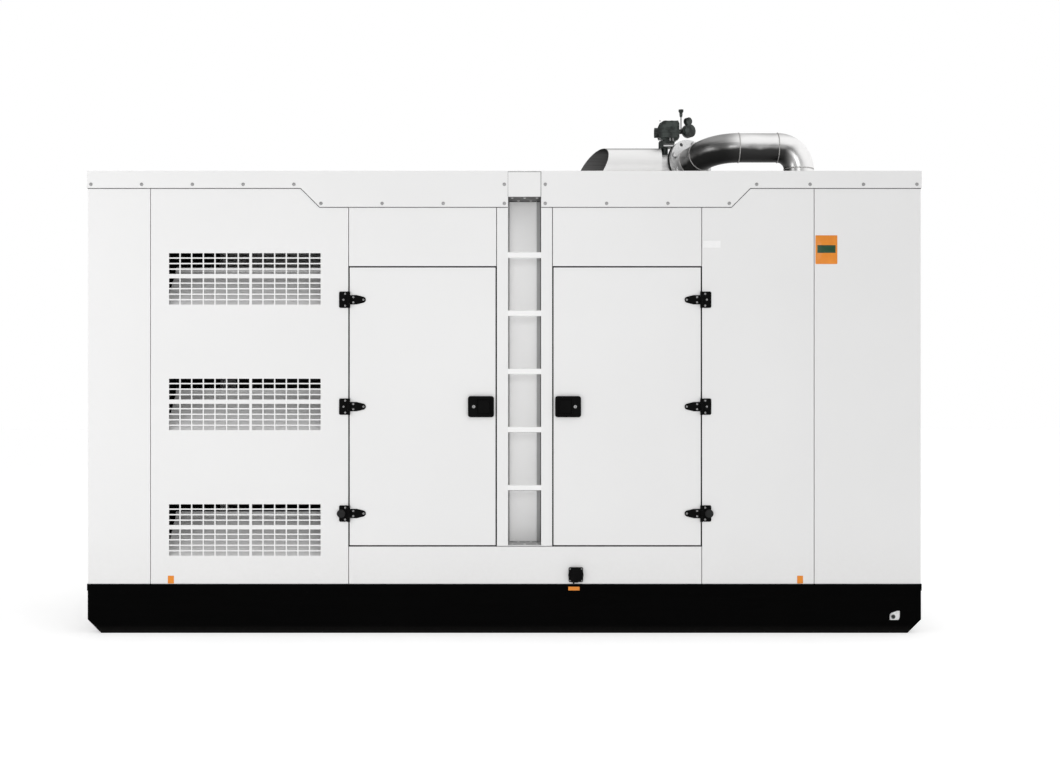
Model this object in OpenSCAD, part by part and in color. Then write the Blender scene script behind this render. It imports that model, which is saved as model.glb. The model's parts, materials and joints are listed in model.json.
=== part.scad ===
// Sound-attenuated diesel generator: a sheet-metal canopy with two doors on a skid base.
// X runs along the length, Y from the front (-) to the back (+), Z up from the ground.
// The origin is on the ground, in the middle of the base.

/* [Overall] */
// Length of the canopy
length = 4500; // [4300:10:4900]
// Width of the canopy, from its front face to its back face
width = 1750; // [1650:10:2000]
// Height of the skid base
base_h = 265; // [220:1:320]
// Height of the canopy, from the base to the top of the roof
canopy_h = 2230; // [2150:10:2400]
// Thickness of the canopy's sheet metal
sheet = 3; // [2:0.5:4]
// Depth of a panel's folded edges
panel_d = 50; // [46:1:60]
// Seam between two fixed panels
seam = 4; // [2:0.5:6]

/* [Front layout] */
// Width of the left corner panel
corner_w = 339; // [250:1:380]
// Width of the panel with the air-intake grilles
intake_w = 1070; // [1000:1:1150]
// Width of the left door bay
left_bay_w = 799; // [700:1:850]
// Width of the strip on each side of the ladder recess
strip_w = 61; // [50:1:75]
// Clear width of the ladder recess
recess_w = 180; // [160:1:260]
// Depth of the ladder recess
recess_d = 200; // [150:1:240]
// Width of the right door bay
right_bay_w = 806; // [700:1:850]
// Width of the plain panel right of the doors
plain_w = 607; // [500:1:700]
// Width of the right corner panel
corner_right_w = 577; // [500:1:700]
// Height of the sill under the doors
sill_h = 203; // [170:1:240]
// Height of the door bays
bay_h = 1511; // [1400:1:1600]
// Height of the headers over the door bays
header_h = 512; // [450:1:560]

/* [Grilles] */
// Width of one punched slot
slot_w = 56.2; // [40:0.1:60]
// Height of one punched slot
slot_h = 23.1; // [15:0.1:26]
// Bar between two slots
bar = 6.7; // [4:0.1:8]
// Wide upright bar in a grille
wide_post = 14.5; // [8:0.5:20]
// Wide level bar in a grille
wide_rail = 23.1; // [10:0.1:30]
// Slots left of the wide upright bar
cols_left = 7; // [4:1:7]
// Slots right of the wide upright bar
cols_right = 6; // [4:1:7]
// Rows of slots below the wide level bar
rows_low = 5; // [3:1:6]
// Rows of slots above the wide level bar
rows_high = 4; // [3:1:5]
// Grilles in one panel, one above the other
grilles = 3; // [2:1:3]
// Distance from one grille to the next
grille_pitch = 678; // [500:1:700]
// Left edge of the panel to the grilles
grille_x = 100; // [60:1:120]
// Foot of the panel to the lowest grille
grille_z = 152; // [120:1:180]
// Depth of the sloped baffle behind a grille
baffle_d = 220; // [150:5:260]
// How far a baffle reaches past its grille, left and right
baffle_over = 20; // [10:1:30]
// Foot that fastens a baffle under its grille
baffle_foot = 40; // [30:1:60]
// Upturned lip of a baffle
baffle_lip = 25; // [15:1:40]

/* [Doors] */
// Gap around a door
door_gap = 8; // [6:0.5:10]
// Depth of a door
door_d = 40; // [35:1:42]
// Width of the frame behind a door's edge, each way from the bay's edge
frame_w = 30; // [24:1:36]
// Thickness of the door seal
seal_t = 5; // [3:0.5:6]
// How far a hinge axis stands in front of the door
hinge_out = 12; // [10:0.5:15]
// Radius of a hinge knuckle
knuckle_r = 8; // [6:0.5:9]
// Radius of a hinge pin
pin_r = 4; // [3:0.5:5]
// Running clearance of a hinge pin
pin_fit = 0.05; // [0.02:0.01:0.1]
// Thickness of the hinge leaves
leaf_t = 4; // [3:0.5:5]
// Width of the leaf on the fixed panel
leaf_w = 47; // [36:1:55]
// Height of the leaf on the fixed panel
leaf_h = 88; // [70:1:110]
// Length of the strap on the door
strap_l = 85; // [60:1:120]
// Height of the strap at its root
strap_h = 50; // [40:1:60]
// Corner radius of a leaf
leaf_round = 8; // [4:1:12]
// Height of a strap hinge's middle knuckle
mid_knuckle_h = 36; // [24:1:44]
// Height of the lowest hinge above the foot of the bay
hinge_z = 177; // [120:1:250]
// Distance from one hinge to the next
hinge_pitch = 577; // [450:1:600]
// Radius of the rubber buffer on a lowest hinge
buffer_r = 22; // [15:1:26]
// Height of the rubber buffer
buffer_h = 10; // [6:1:14]

/* [Latches] */
// Width of a latch body
latch_w = 140; // [130:1:160]
// Height of a latch body
latch_h = 114; // [100:1:130]
// Thickness of a latch body
latch_t = 14; // [13:0.5:18]
// Middle of a latch to the free edge of its door
latch_edge = 84; // [78:1:110]
// Middle of a latch above the foot of the bay
latch_z = 754; // [650:1:850]
// Length of the pocket that holds the paddle
pocket_l = 80; // [76:1:84]
// Height of the pocket
pocket_h = 84; // [76:1:90]
// Floor left under the pocket
pocket_floor = 3; // [2:0.5:4]
// Wall between the pocket and the free end of the latch
pocket_wall = 12; // [8:1:14]
// Corner radius of a latch body
latch_round = 14; // [8:1:20]
// Width of the raised block round the key
key_w = 33; // [24:1:34]
// Height of the raised block
key_h = 57; // [45:1:72]
// Radius of the key cylinder
key_r = 9; // [7:0.5:11]

/* [Socket] */
// Width of the socket's plate
socket_w = 78; // [60:1:90]
// Height of the socket's plate
socket_h = 80; // [60:1:90]
// Distance from the right door bay's edge to the socket's middle
socket_x = 126; // [80:1:300]
// Height of the socket's middle above the base
socket_z = 50; // [50:1:120]
// How far the round lid stands out
lid_h = 30; // [24:1:40]
// Width of the lid's catch
catch_w = 8; // [6:1:12]
// Length of the paddle from its pivot
paddle_l = 56; // [50:1:60]
// Room around the paddle
paddle_gap = 6; // [5:0.5:8]
// Radius of the paddle's pivot pin
paddle_pin_r = 2; // [1.5:0.5:2.5]

/* [Ladder] */
// Number of rungs
rungs = 5; // [4:1:6]
// Size of a rung, square
rung_s = 30; // [24:1:36]
// Corner radius of a rung
rung_round = 4; // [2:0.5:8]
// Height of the cap plate over the ladder
cap_h = 135; // [100:1:160]

/* [Roof] */
// Thickness of the roof sheet
roof_t = 4; // [3:0.5:5]
// Drop of the fascia at the ends
eave_drop = 93; // [70:1:120]
// Drop of the fascia over the doors
fascia_drop = 195; // [170:1:230]
// Length of the deep fascia left of the ladder
fascia_left = 1016; // [900:1:1100]
// Length of the deep fascia right of the ladder
fascia_right = 1027; // [900:1:1100]
// Thickness of the roof lining
roof_foam = 40; // [30:1:60]

/* [Base] */
// Thickness of the rails' web and flanges
rail_t = 8; // [6:0.5:12]
// Width of a rail's flanges
rail_flange = 90; // [70:1:120]
// Chamfer at the ends of the base
base_chamfer = 73; // [50:1:90]
// Height of the deck pan's lip
lip_h = 36; // [24:1:50]
// Thickness of the deck pan
deck_t = 6; // [4:0.5:8]
// Number of cross members
cross_members = 5; // [3:1:7]
// Width of a cross member
cross_w = 80; // [60:1:100]
// Height of a cross member
cross_h = 140; // [100:1:160]
// Distance from the outer cross members' middles to the ends of the base
cross_inset = 353; // [300:1:420]

/* [Exhaust] */
// Outside diameter of the exhaust pipe
pipe_d = 168.3; // [150:0.1:190]
// Wall of the exhaust pipe
pipe_wall = 4; // [3:0.5:6]
// Distance from the riser to the right end of the canopy
riser_x = 550; // [530:10:600]
// Place of the riser across the canopy
riser_y = -300; // [-340:10:-280]
// Bend radius of the riser's elbows
elbow_r = 125; // [110:1:140]
// Height of the level run above the roof
run_z = 225; // [210:5:300]
// Length of the level run
run_l = 226; // [150:1:300]
// Bend radius of the turn before the flanges
turn_r = 229; // [200:1:260]
// Angle of the turn before the flanges
turn_a = 62; // [55:1:70]
// Fall of the turn's plane towards the back
turn_fall = 14; // [6:1:15]
// Length of the spool before the flanges
spool_l = 100; // [60:1:120]
// Outside diameter of the flanges
flange_d = 285; // [260:1:300]
// Thickness of the front flange
flange_t = 20; // [14:1:26]
// Thickness of the gasket between the flanges
gasket_t = 3; // [2:0.5:5]
// Thickness of the back flange
back_flange_t = 18; // [14:1:26]
// Pitch circle of the flange bolts
bolt_circle = 240; // [225:1:250]
// Diameter of the flange bolt holes
bolt_hole = 22; // [16:1:24]
// Number of flange bolts
bolts = 8; // [6:1:12]
// Turn of the bolt circle from the upright
bolt_turn = -12; // [-22:1:22]
// Bend radius of the turn after the flanges
return_r = 120; // [100:1:160]
// Length of the valve's barrel before the tail pipe
valve_t = 50; // [46:1:60]
// Radius of the valve's neck
neck_r = 21; // [16:1:22]
// Outside diameter of the tail pipe
tail_d = 244.5; // [220:0.1:250]
// Wall of the tail pipe
tail_wall = 3; // [2:0.5:5]
// Length of the tail pipe along its axis
tail_l = 409; // [350:1:460]
// Slant of the tail pipe's mouth
mouth_slant = 37; // [30:1:50]
// Roll of the mouth's short side from the top towards the front
mouth_roll = 52; // [0:1:90]
// Length of a saddle's foot across the tail pipe
saddle_w = 170; // [140:1:200]
// Length of a saddle's foot along the tail pipe
saddle_l = 50; // [40:1:80]
// Thickness of a saddle's foot and web
saddle_t = 8; // [5:1:12]
// How far a saddle's web rises up the tail pipe's sides
saddle_rise = 22; // [12:1:30]
// Height of the collar round the riser
collar_h = 40; // [30:1:60]
// Wall of the collar
collar_t = 8; // [5:1:12]
// Width of the collar's foot
collar_foot = 45; // [30:1:60]
// Thickness of the collar's foot
collar_foot_t = 6; // [4:1:10]

/* [Valve drive] */
// Height of the drive's foot above the valve's axis
actuator_z = 148; // [147:1:180]
// Thickness of the bracket's lower arm
arm_t = 8; // [6:1:12]
// Gap between the bracket's arms
arm_gap = 15; // [10:1:20]
// Length of the bracket, right of the valve's stem
arm_l = 58; // [50:1:70]
// Width of the bracket's web, left of the gap
web_w = 25; // [18:1:30]
// Depth of the bracket, across the tail pipe
bracket_d = 64; // [50:1:80]
// Height of the yoke under the gear case
yoke_h = 18; // [12:1:30]
// Length of the gear case
gear_l = 128; // [110:1:150]
// Height of the gear case
gear_h = 101; // [90:1:120]
// Depth of the gear case
gear_d = 100; // [80:1:120]
// How far the middle of the gear case stands right of the valve's stem
gear_x = 21; // [10:1:30]
// Height of the case's parting flange above its foot
parting_z = 33; // [25:1:50]
// Radius of the cap on the left of the gear case
cap_r = 30; // [24:1:32]
// Length of that cap
cap_l = 20; // [12:1:30]
// Radius of the large drum on the right
drum_r = 39; // [32:1:44]
// Radius of the small drum over it
small_drum_r = 23; // [18:1:28]
// Length of the drums
drum_l = 26; // [18:1:36]
// Turn of the drums from the front towards the right
drum_turn = 32; // [20:1:45]
// Height of the hand lever's top above the gear case
lever_h = 75; // [50:1:90]
// Radius of the lever's knob
knob_r = 15; // [10:1:18]
// Height of the lever's knob
knob_h = 44; // [30:1:50]

/* [Power set] */
// Width between the bearers' middles
bearer_gap = 640; // [600:10:680]
// Length of the bearers
bearer_l = 2900; // [2850:10:3000]
// Height of the bearers
bearer_h = 120; // [100:5:160]
// Width of a bearer
bearer_w = 90; // [70:1:120]
// Shaft height above the bearers
shaft_z = 380; // [370:5:400]
// Distance from the radiator to the right end of the canopy
radiator_x = 250; // [220:5:280]
// Thickness of the radiator
radiator_t = 120; // [100:5:140]
// Width of the radiator
radiator_w = 1120; // [1000:10:1200]
// Height of the radiator
radiator_h = 1250; // [1100:10:1350]
// Width of the radiator's frame
radiator_rim = 60; // [40:1:80]
// Depth of the fan's shroud
shroud_d = 40; // [30:1:50]
// Radius of the fan
fan_r = 430; // [380:5:450]
// Room between the fan's blades and the shroud
fan_gap = 25; // [15:1:40]
// Width of a fan blade
blade_w = 110; // [80:1:115]
// Number of fan blades
blades = 8; // [6:1:10]
// Room for the fan between the engine block and the radiator
fan_room = 350; // [340:5:380]
// Length of the engine block
block_l = 1100; // [1050:10:1150]
// Width of the crankcase
crankcase_w = 580; // [560:5:600]
// Width of the engine block over the crankcase
block_w = 440; // [400:5:480]
// Height of the block's top above the bearers
block_z = 640; // [620:5:680]
// Number of cylinders
cylinders = 6; // [4:1:8]
// Gap between two cylinder heads
head_gap = 14; // [8:1:20]
// Height of a cylinder head
head_h = 110; // [90:5:130]
// Height of a rocker cover
cover_h = 70; // [50:5:90]
// Radius of the exhaust manifold
manifold_r = 46; // [40:1:60]
// Radius of the inlet manifold
inlet_r = 58; // [50:1:70]
// Length of the flywheel housing
flywheel_l = 100; // [80:5:120]
// Radius of the flywheel housing and of the alternator's end
flywheel_r = 290; // [280:5:300]
// Length of the alternator
alternator_l = 890; // [800:10:950]
// Radius of the alternator's frame
alternator_r = 268; // [250:1:275]
// Length of the terminal box
terminal_l = 540; // [450:10:560]
// Width of the terminal box
terminal_w = 440; // [380:10:480]
// Height of the terminal box
terminal_h = 210; // [180:5:240]

/* [Hidden] */
$fn = 64;

white = "whitesmoke";
black = "#1b1b1d";
foam = "#303234";
steel = "#c4c8cb";

// Places along the front, from left to right
x_left = -length / 2;
x_right = length / 2;
x_intake = x_left + corner_w;
x_bay_l = x_intake + intake_w;
x_strip_l = x_bay_l + left_bay_w;
x_recess = x_strip_l + strip_w;
x_strip_r = x_recess + recess_w;
x_bay_r = x_strip_r + strip_w;
x_plain = x_bay_r + right_bay_w;
// The plain panel and the right corner panel share what the others leave, as their widths do
x_corner = x_plain + (x_right - x_plain) * plain_w / (plain_w + corner_right_w);
x_roof_joint = (x_recess + x_strip_r) / 2;
y_front = -width / 2;

// Heights
z_sill = base_h + sill_h;
z_roof = base_h + canopy_h;
z_eave = z_roof - roof_t;
z_cap = z_eave - cap_h;
wall_h = z_eave - base_h;
// The doors and the headers share the wall above the sill, as their heights do
door_h = (wall_h - sill_h) * bay_h / (bay_h + header_h);
z_head = z_sill + door_h;
// Hinges and latches keep their share of a door's height
door_stretch = door_h / bay_h;
end_w = width - 2 * panel_d - 2 * seam;

// Grille sizes that follow from the slots
cols = cols_left + cols_right;
rows = rows_low + rows_high;
grille_w = cols * slot_w + (cols - 2) * bar + wide_post;
grille_h = rows * slot_h + (rows - 2) * bar + wide_rail;

// A door's edge lies this far inside its bay, and a hinge's flat root this far from its axis
edge_in = door_gap - seam / 2;
root_x = knuckle_r * 0.75;

// Latch places: the pivot lies at the key's end of the pocket
pocket_x0 = latch_w / 2 - pocket_l - pocket_wall;
pivot_x = pocket_x0 + paddle_gap + 2 * paddle_pin_r;
pivot_y = -(pocket_floor + latch_t - leaf_t) / 2;
paddle_h = pocket_h - 2 * paddle_gap;
key_x = pocket_x0 - (key_w + 1) / 2;

// The exhaust's riser and level run
x_riser = x_right - riser_x;
z_run = z_roof + run_z;
x_run_start = x_riser - elbow_r;
x_run_end = x_run_start - run_l;
pipe_r = pipe_d / 2;
// Elbows are pressed fittings, a little larger than the pipe welded to them
bend_r = pipe_r + 1;
fit = 0.02;

// The flanges, and the tail pipe that the two turns lead to
gasket_r = (bolt_circle - bolt_hole) / 2 - 1;
flange_run = spool_l + flange_t + gasket_t + back_flange_t;
turn_depth = (turn_r + return_r) * (1 - cos(turn_a)) + flange_run * sin(turn_a);
x_tail = x_run_end - (turn_r + return_r) * sin(turn_a) - flange_run * cos(turn_a);
y_tail = riser_y + turn_depth * cos(turn_fall);
z_tail = z_run - turn_depth * sin(turn_fall);
tail_r = tail_d / 2;

// The power set, from the radiator at the right to the alternator at the left
set_z = base_h + bearer_h;
x_radiator = x_right - radiator_x - radiator_t;
x_block_end = x_radiator - fan_room;
x_block = x_block_end - block_l;
x_flywheel = x_block - flywheel_l;
manifold_z = block_z + head_h / 2;

function arc(cx, cy, r, a0, a1, n) =
    [for (i = [0:n]) [cx + r * cos(a0 + (a1 - a0) * i / n), cy + r * sin(a0 + (a1 - a0) * i / n)]];

function round_rect(w, h, r) = concat(
    arc(w / 2 - r, h / 2 - r, r, 0, 90, 5), arc(r - w / 2, h / 2 - r, r, 90, 180, 5),
    arc(r - w / 2, r - h / 2, r, 180, 270, 5), arc(w / 2 - r, r - h / 2, r, 270, 360, 5));

// A flat outline in X and Z, made t thick from its outer face at y = 0 towards +Y
module upright(t) {
    translate([0, t, 0]) rotate([90, 0, 0]) linear_extrude(t) children();
}

module tray_edges(w, h, d) {
    difference() {
        cube([w, d, h]);
        translate([sheet, -1, sheet]) cube([w - 2 * sheet, d + 2, h - 2 * sheet]);
    }
}

// A folded panel: its outer face at y = 0 and its edges turned back d deep
module tray(w, h, d) {
    difference() {
        cube([w, d, h]);
        translate([sheet, sheet, sheet]) cube([w - 2 * sheet, d, h - 2 * sheet]);
    }
}

// The lining that fills a tray
module tray_fill(w, h, d) {
    translate([sheet, sheet, sheet]) cube([w - 2 * sheet, d - sheet, h - 2 * sheet]);
}

// Places a panel of the front after a seam
module on_front(x0, z0) {
    translate([x0 + seam / 2, y_front, z0]) children();
}

module front_tray(x0, x1, z0, z1) {
    on_front(x0, z0) tray(x1 - x0 - seam, z1 - z0, panel_d);
}

module front_fill(x0, x1, z0, z1) {
    on_front(x0, z0) tray_fill(x1 - x0 - seam, z1 - z0, panel_d);
}

function slot_x(i) = i * (slot_w + bar) + (i >= cols_left ? wide_post - bar : 0);
function slot_z(j) = j * (slot_h + bar) + (j >= rows_low ? wide_rail - bar : 0);

module slots() {
    for (i = [0:cols - 1])
        for (j = [0:rows - 1])
            translate([slot_x(i), slot_z(j)]) square([slot_w, slot_h]);
}

// A folded panel with grilles punched through its face, x0 from its left edge
module grille_tray(w, h, x0) {
    upright(sheet) difference() {
        square([w, h]);
        for (k = [0:grilles - 1])
            translate([x0, grille_z + k * grille_pitch]) slots();
    }
    tray_edges(w, h, panel_d);
}

module end_place(side) {
    translate([side * length / 2, -side * end_w / 2, base_h]) rotate([0, 0, side * 90]) children();
}

// Skid base

module rail_profile() {
    difference() {
        square([rail_flange, base_h - deck_t]);
        translate([rail_t, rail_t]) square([rail_flange, base_h - deck_t - 2 * rail_t]);
    }
}

module end_chamfers() {
    for (s = [-1, 1])
        rotate([90, 0, 0]) linear_extrude(2 * width, center = true)
            polygon([[s * (x_right - base_chamfer), 0], [s * (x_right + 1), base_chamfer + 1],
                [s * (x_right + 1), -1], [s * (x_right - base_chamfer - 1), -1]]);
}

module skid_rail() {
    difference() {
        translate([x_left, y_front, 0]) rotate([90, 0, 90]) linear_extrude(length) rail_profile();
        end_chamfers();
    }
}

module skid_rails() {
    color(black) {
        skid_rail();
        mirror([0, 1, 0]) skid_rail();
    }
}

// A bent plate that closes the base's end, notched round the rails' flanges
module skid_end() {
    run = base_chamfer;
    top = base_h - deck_t;
    difference() {
        rotate([90, 0, 0]) linear_extrude(width - 2 * rail_t, center = true)
            polygon([[x_right - run, 0], [x_right, run], [x_right, top], [x_right - rail_t, top],
                [x_right - rail_t, run + rail_t / 2], [x_right - run - rail_t / 2, rail_t / 2],
                [x_right - run - rail_t / 2, 0]]);
        for (s = [-1, 1])
            for (z = [-1, top - rail_t])
                translate([0, s * (width - rail_flange) / 2, z + (rail_t + 1) / 2])
                    cube([2 * length, rail_flange, rail_t + 1], center = true);
    }
}

module skid_ends() {
    color(black) {
        skid_end();
        mirror([1, 0, 0]) skid_end();
    }
}

module skid_cross_members() {
    span = length - 2 * cross_inset;
    color(black)
        for (i = [0:cross_members - 1])
            translate([-span / 2 + span * i / (cross_members - 1) - cross_w / 2,
                y_front + rail_flange, base_h - deck_t - cross_h])
                cube([cross_w, width - 2 * rail_flange, cross_h]);
}

module deck_pan() {
    color(black) difference() {
        translate([x_left - sheet, y_front - sheet, base_h - lip_h])
            cube([length + 2 * sheet, width + 2 * sheet, lip_h]);
        translate([x_left, y_front, base_h - lip_h - 1])
            cube([length, width, lip_h + 1 - deck_t]);
    }
}

// Fixed panels

module front_corner_left() { color(white) front_tray(x_left, x_intake, base_h, z_eave); }

module intake_panel() {
    on_front(x_intake, base_h)
        grille_tray(intake_w - seam, wall_h, grille_x - seam / 2);
}

module front_intake_panel() { color(white) intake_panel(); }

module header(x0, x1) {
    front_tray(x0, x1, z_head + seam / 2, z_eave);
}

module front_header_left() { color(white) header(x_bay_l, x_strip_l); }

module front_header_right() { color(white) header(x_bay_r, x_plain); }

module front_sill() { color(white) front_tray(x_bay_l, x_plain, base_h, z_sill - seam / 2); }

module front_plain_panel() { color(white) front_tray(x_plain, x_corner, base_h, z_eave); }

module front_corner_right() { color(white) front_tray(x_corner, x_right, base_h, z_eave); }

module end_wall_left() { color(white) end_place(-1) tray(end_w, wall_h, panel_d); }

module end_wall_right() {
    color(white) end_place(1) grille_tray(end_w, wall_h, (end_w - grille_w) / 2);
}

module back() { mirror([0, 1, 0]) children(); }

module rear_corner_left() { color(white) back() front_tray(x_left, x_intake, base_h, z_eave); }

module rear_intake_panel() { color(white) back() intake_panel(); }

module rear_frame() {
    color(white) back() {
        header(x_bay_l, x_strip_l);
        header(x_bay_r, x_plain);
        front_tray(x_bay_l, x_plain, base_h, z_sill - seam / 2);
        front_tray(x_strip_l, x_bay_r, z_sill + seam / 2, z_eave);
    }
}

module rear_plain_panel() { color(white) back() front_tray(x_plain, x_corner, base_h, z_eave); }

module rear_corner_right() { color(white) back() front_tray(x_corner, x_right, base_h, z_eave); }

// Ladder in the front

module ladder_recess() {
    h = z_eave - z_sill - seam / 2;
    left = x_strip_l + seam / 2;
    right = x_bay_r - seam / 2;
    color(white) translate([0, y_front, z_sill + seam / 2]) {
        linear_extrude(h) {
            translate([left, 0]) square([strip_w - seam / 2, sheet]);
            translate([left, 0]) square([sheet, panel_d]);
            translate([x_recess - sheet, 0]) square([sheet, recess_d]);
            translate([x_recess - sheet, recess_d - sheet]) square([recess_w + 2 * sheet, sheet]);
            translate([x_strip_r, 0]) square([sheet, recess_d]);
            translate([right - sheet, 0]) square([sheet, panel_d]);
            translate([x_strip_r, 0]) square([strip_w - seam / 2, sheet]);
        }
        translate([x_recess - sheet, 0, 0]) cube([recess_w + 2 * sheet, recess_d, sheet]);
        translate([x_recess - sheet, 0, z_cap - z_sill - seam / 2])
            cube([recess_w + 2 * sheet, recess_d, sheet]);
    }
}

module ladder_rungs() {
    pitch = (z_cap - z_sill) / (rungs + 1);
    color(white)
        for (i = [1:rungs])
            translate([x_recess, y_front + rung_s / 2, z_sill + i * pitch])
                rotate([90, 0, 90]) linear_extrude(recess_w) polygon(round_rect(rung_s, rung_s, rung_round));
}

module ladder_cap() {
    color(white) translate([x_recess, y_front - sheet, z_cap])
        cube([recess_w, sheet, z_eave - z_cap]);
}

// Door frames behind the doors

module bay_ring(x0, x1, out, inner, t) {
    difference() {
        translate([x0 - out, 0, z_sill - out]) cube([x1 - x0 + 2 * out, t, door_h + 2 * out]);
        translate([x0 + inner, -1, z_sill + inner])
            cube([x1 - x0 - 2 * inner, t + 2, door_h - 2 * inner]);
    }
}

module door_frames() {
    color(white) translate([0, y_front + panel_d, 0]) {
        bay_ring(x_bay_l, x_strip_l, frame_w, frame_w, sheet);
        bay_ring(x_bay_r, x_plain, frame_w, frame_w, sheet);
    }
}

module door_seals() {
    color(black) translate([0, y_front + panel_d - seal_t, 0]) {
        bay_ring(x_bay_l, x_strip_l, -frame_w / 3, frame_w, seal_t);
        bay_ring(x_bay_r, x_plain, -frame_w / 3, frame_w, seal_t);
    }
}

// Doors

module door_place(x0) {
    translate([x0 + edge_in, y_front, z_sill + edge_in]) children();
}

module door_tray(x0, x1) {
    door_place(x0) tray(x1 - x0 - 2 * edge_in, door_h - 2 * edge_in, door_d);
}

module door_fill(x0, x1) {
    door_place(x0) tray_fill(x1 - x0 - 2 * edge_in, door_h - 2 * edge_in, door_d);
}

// Everything on a hinge is drawn about its axis, with the door towards +X
module at_hinge(x, side, i) {
    translate([x + side * (door_gap - seam) / 2, y_front - hinge_out,
        z_sill + (hinge_z + i * hinge_pitch) * door_stretch])
        mirror([side < 0 ? 1 : 0, 0, 0]) children();
}

module at_hinges(x, side) {
    for (i = [0:2]) at_hinge(x, side, i) children();
}

module hinge_leaf() {
    outer = (leaf_h - mid_knuckle_h) / 2 - 1;
    translate([-root_x - leaf_w / 2, hinge_out - leaf_t, 0])
        upright(leaf_t) polygon(round_rect(leaf_w, leaf_h, leaf_round));
    for (s = [-1, 1])
        translate([0, 0, s * (leaf_h - outer) / 2]) {
            cylinder(h = outer, r = knuckle_r, center = true);
            translate([-root_x - 1, 0, -outer / 2]) cube([root_x + 1, hinge_out, outer]);
        }
    cylinder(h = leaf_h, r = pin_r, center = true);
}

module hinge_strap() {
    tip_r = strap_h / 3;
    difference() {
        union() {
            translate([0, hinge_out - leaf_t, 0]) upright(leaf_t) polygon(concat(
                [[root_x, -strap_h / 2], [strap_l / 2, -strap_h / 2]],
                arc(root_x + strap_l - tip_r, 0, tip_r, -70, 70, 10),
                [[strap_l / 2, strap_h / 2], [root_x, strap_h / 2]]));
            cylinder(h = mid_knuckle_h, r = knuckle_r, center = true);
            translate([0, 0, -mid_knuckle_h / 2]) cube([root_x + 1, hinge_out, mid_knuckle_h]);
        }
        cylinder(h = mid_knuckle_h + 2, r = pin_r + pin_fit, center = true);
    }
}

module hinge_buffer() {
    translate([-root_x - leaf_w + buffer_r / 2, hinge_out - leaf_t, 0])
        rotate([90, 0, 0]) cylinder(h = buffer_h, r = buffer_r);
}

module hinge_leaves() {
    color(black) {
        at_hinges(x_bay_l, 1) hinge_leaf();
        at_hinges(x_plain, -1) hinge_leaf();
    }
}

module hinge_buffers() {
    color(black) {
        at_hinge(x_bay_l, 1, 0) hinge_buffer();
        at_hinge(x_plain, -1, 0) hinge_buffer();
    }
}

// A latch is drawn about its middle on the door's face, with the free edge towards +X
module at_latch(x_free, side) {
    translate([x_free - side * latch_edge, y_front, z_sill + latch_z * door_stretch])
        mirror([side < 0 ? 1 : 0, 0, 0]) children();
}

module latch_body() {
    block_t = 3;
    difference() {
        union() {
            translate([0, -latch_t, 0]) upright(latch_t) polygon(round_rect(latch_w, latch_h, latch_round));
            translate([key_x, -latch_t - block_t, 0])
                upright(block_t + 1) polygon(round_rect(key_w, key_h, latch_round / 3));
            translate([key_x, -latch_t - 2 * block_t, 0])
                rotate([-90, 0, 0]) cylinder(h = latch_t, r = key_r);
        }
        translate([pocket_x0, -latch_t - 1, -pocket_h / 2])
            cube([pocket_l, latch_t + 1 - pocket_floor, pocket_h]);
        translate([pivot_x, pivot_y, 0])
            cylinder(h = pocket_h + 10, r = paddle_pin_r + pin_fit, center = true);
    }
}

module paddle() {
    barrel = paddle_pin_r + 1;
    translate([pivot_x, 0, 0]) {
        translate([-barrel, -latch_t, -paddle_h / 2]) cube([paddle_l + barrel, leaf_t + 1, paddle_h]);
        translate([paddle_l - leaf_t, -latch_t, -paddle_h / 2]) cube([leaf_t, leaf_t * 1.5, paddle_h]);
        translate([0, pivot_y, 0]) {
            cylinder(h = paddle_h, r = barrel, center = true);
            cylinder(h = pocket_h + 8, r = paddle_pin_r, center = true);
        }
    }
}

module door_left() { color(white) door_tray(x_bay_l, x_strip_l); }

module door_right() { color(white) door_tray(x_bay_r, x_plain); }

module door_left_lining() { color(foam) door_fill(x_bay_l, x_strip_l); }

module door_right_lining() { color(foam) door_fill(x_bay_r, x_plain); }

module door_left_straps() { color(black) at_hinges(x_bay_l, 1) hinge_strap(); }

module door_right_straps() { color(black) at_hinges(x_plain, -1) hinge_strap(); }

module door_left_latch() { color(black) at_latch(x_strip_l, 1) latch_body(); }

module door_right_latch() { color(black) at_latch(x_bay_r, -1) latch_body(); }

module door_left_paddle() { color(black) at_latch(x_strip_l, 1) paddle(); }

module door_right_paddle() { color(black) at_latch(x_bay_r, -1) paddle(); }

module rear_doors() {
    color(white) back() {
        door_tray(x_bay_l, x_strip_l);
        door_tray(x_bay_r, x_plain);
    }
}

module rear_hinges() {
    color(black) back() {
        at_hinges(x_bay_l, 1) hinge_leaf();
        at_hinges(x_plain, -1) hinge_leaf();
        at_hinges(x_bay_l, 1) hinge_strap();
        at_hinges(x_plain, -1) hinge_strap();
    }
}

module rear_latches() {
    color(black) back() {
        at_latch(x_strip_l, 1) latch_body();
        at_latch(x_bay_r, -1) latch_body();
        at_latch(x_strip_l, 1) paddle();
        at_latch(x_bay_r, -1) paddle();
    }
}

// Linings and baffles

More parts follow.
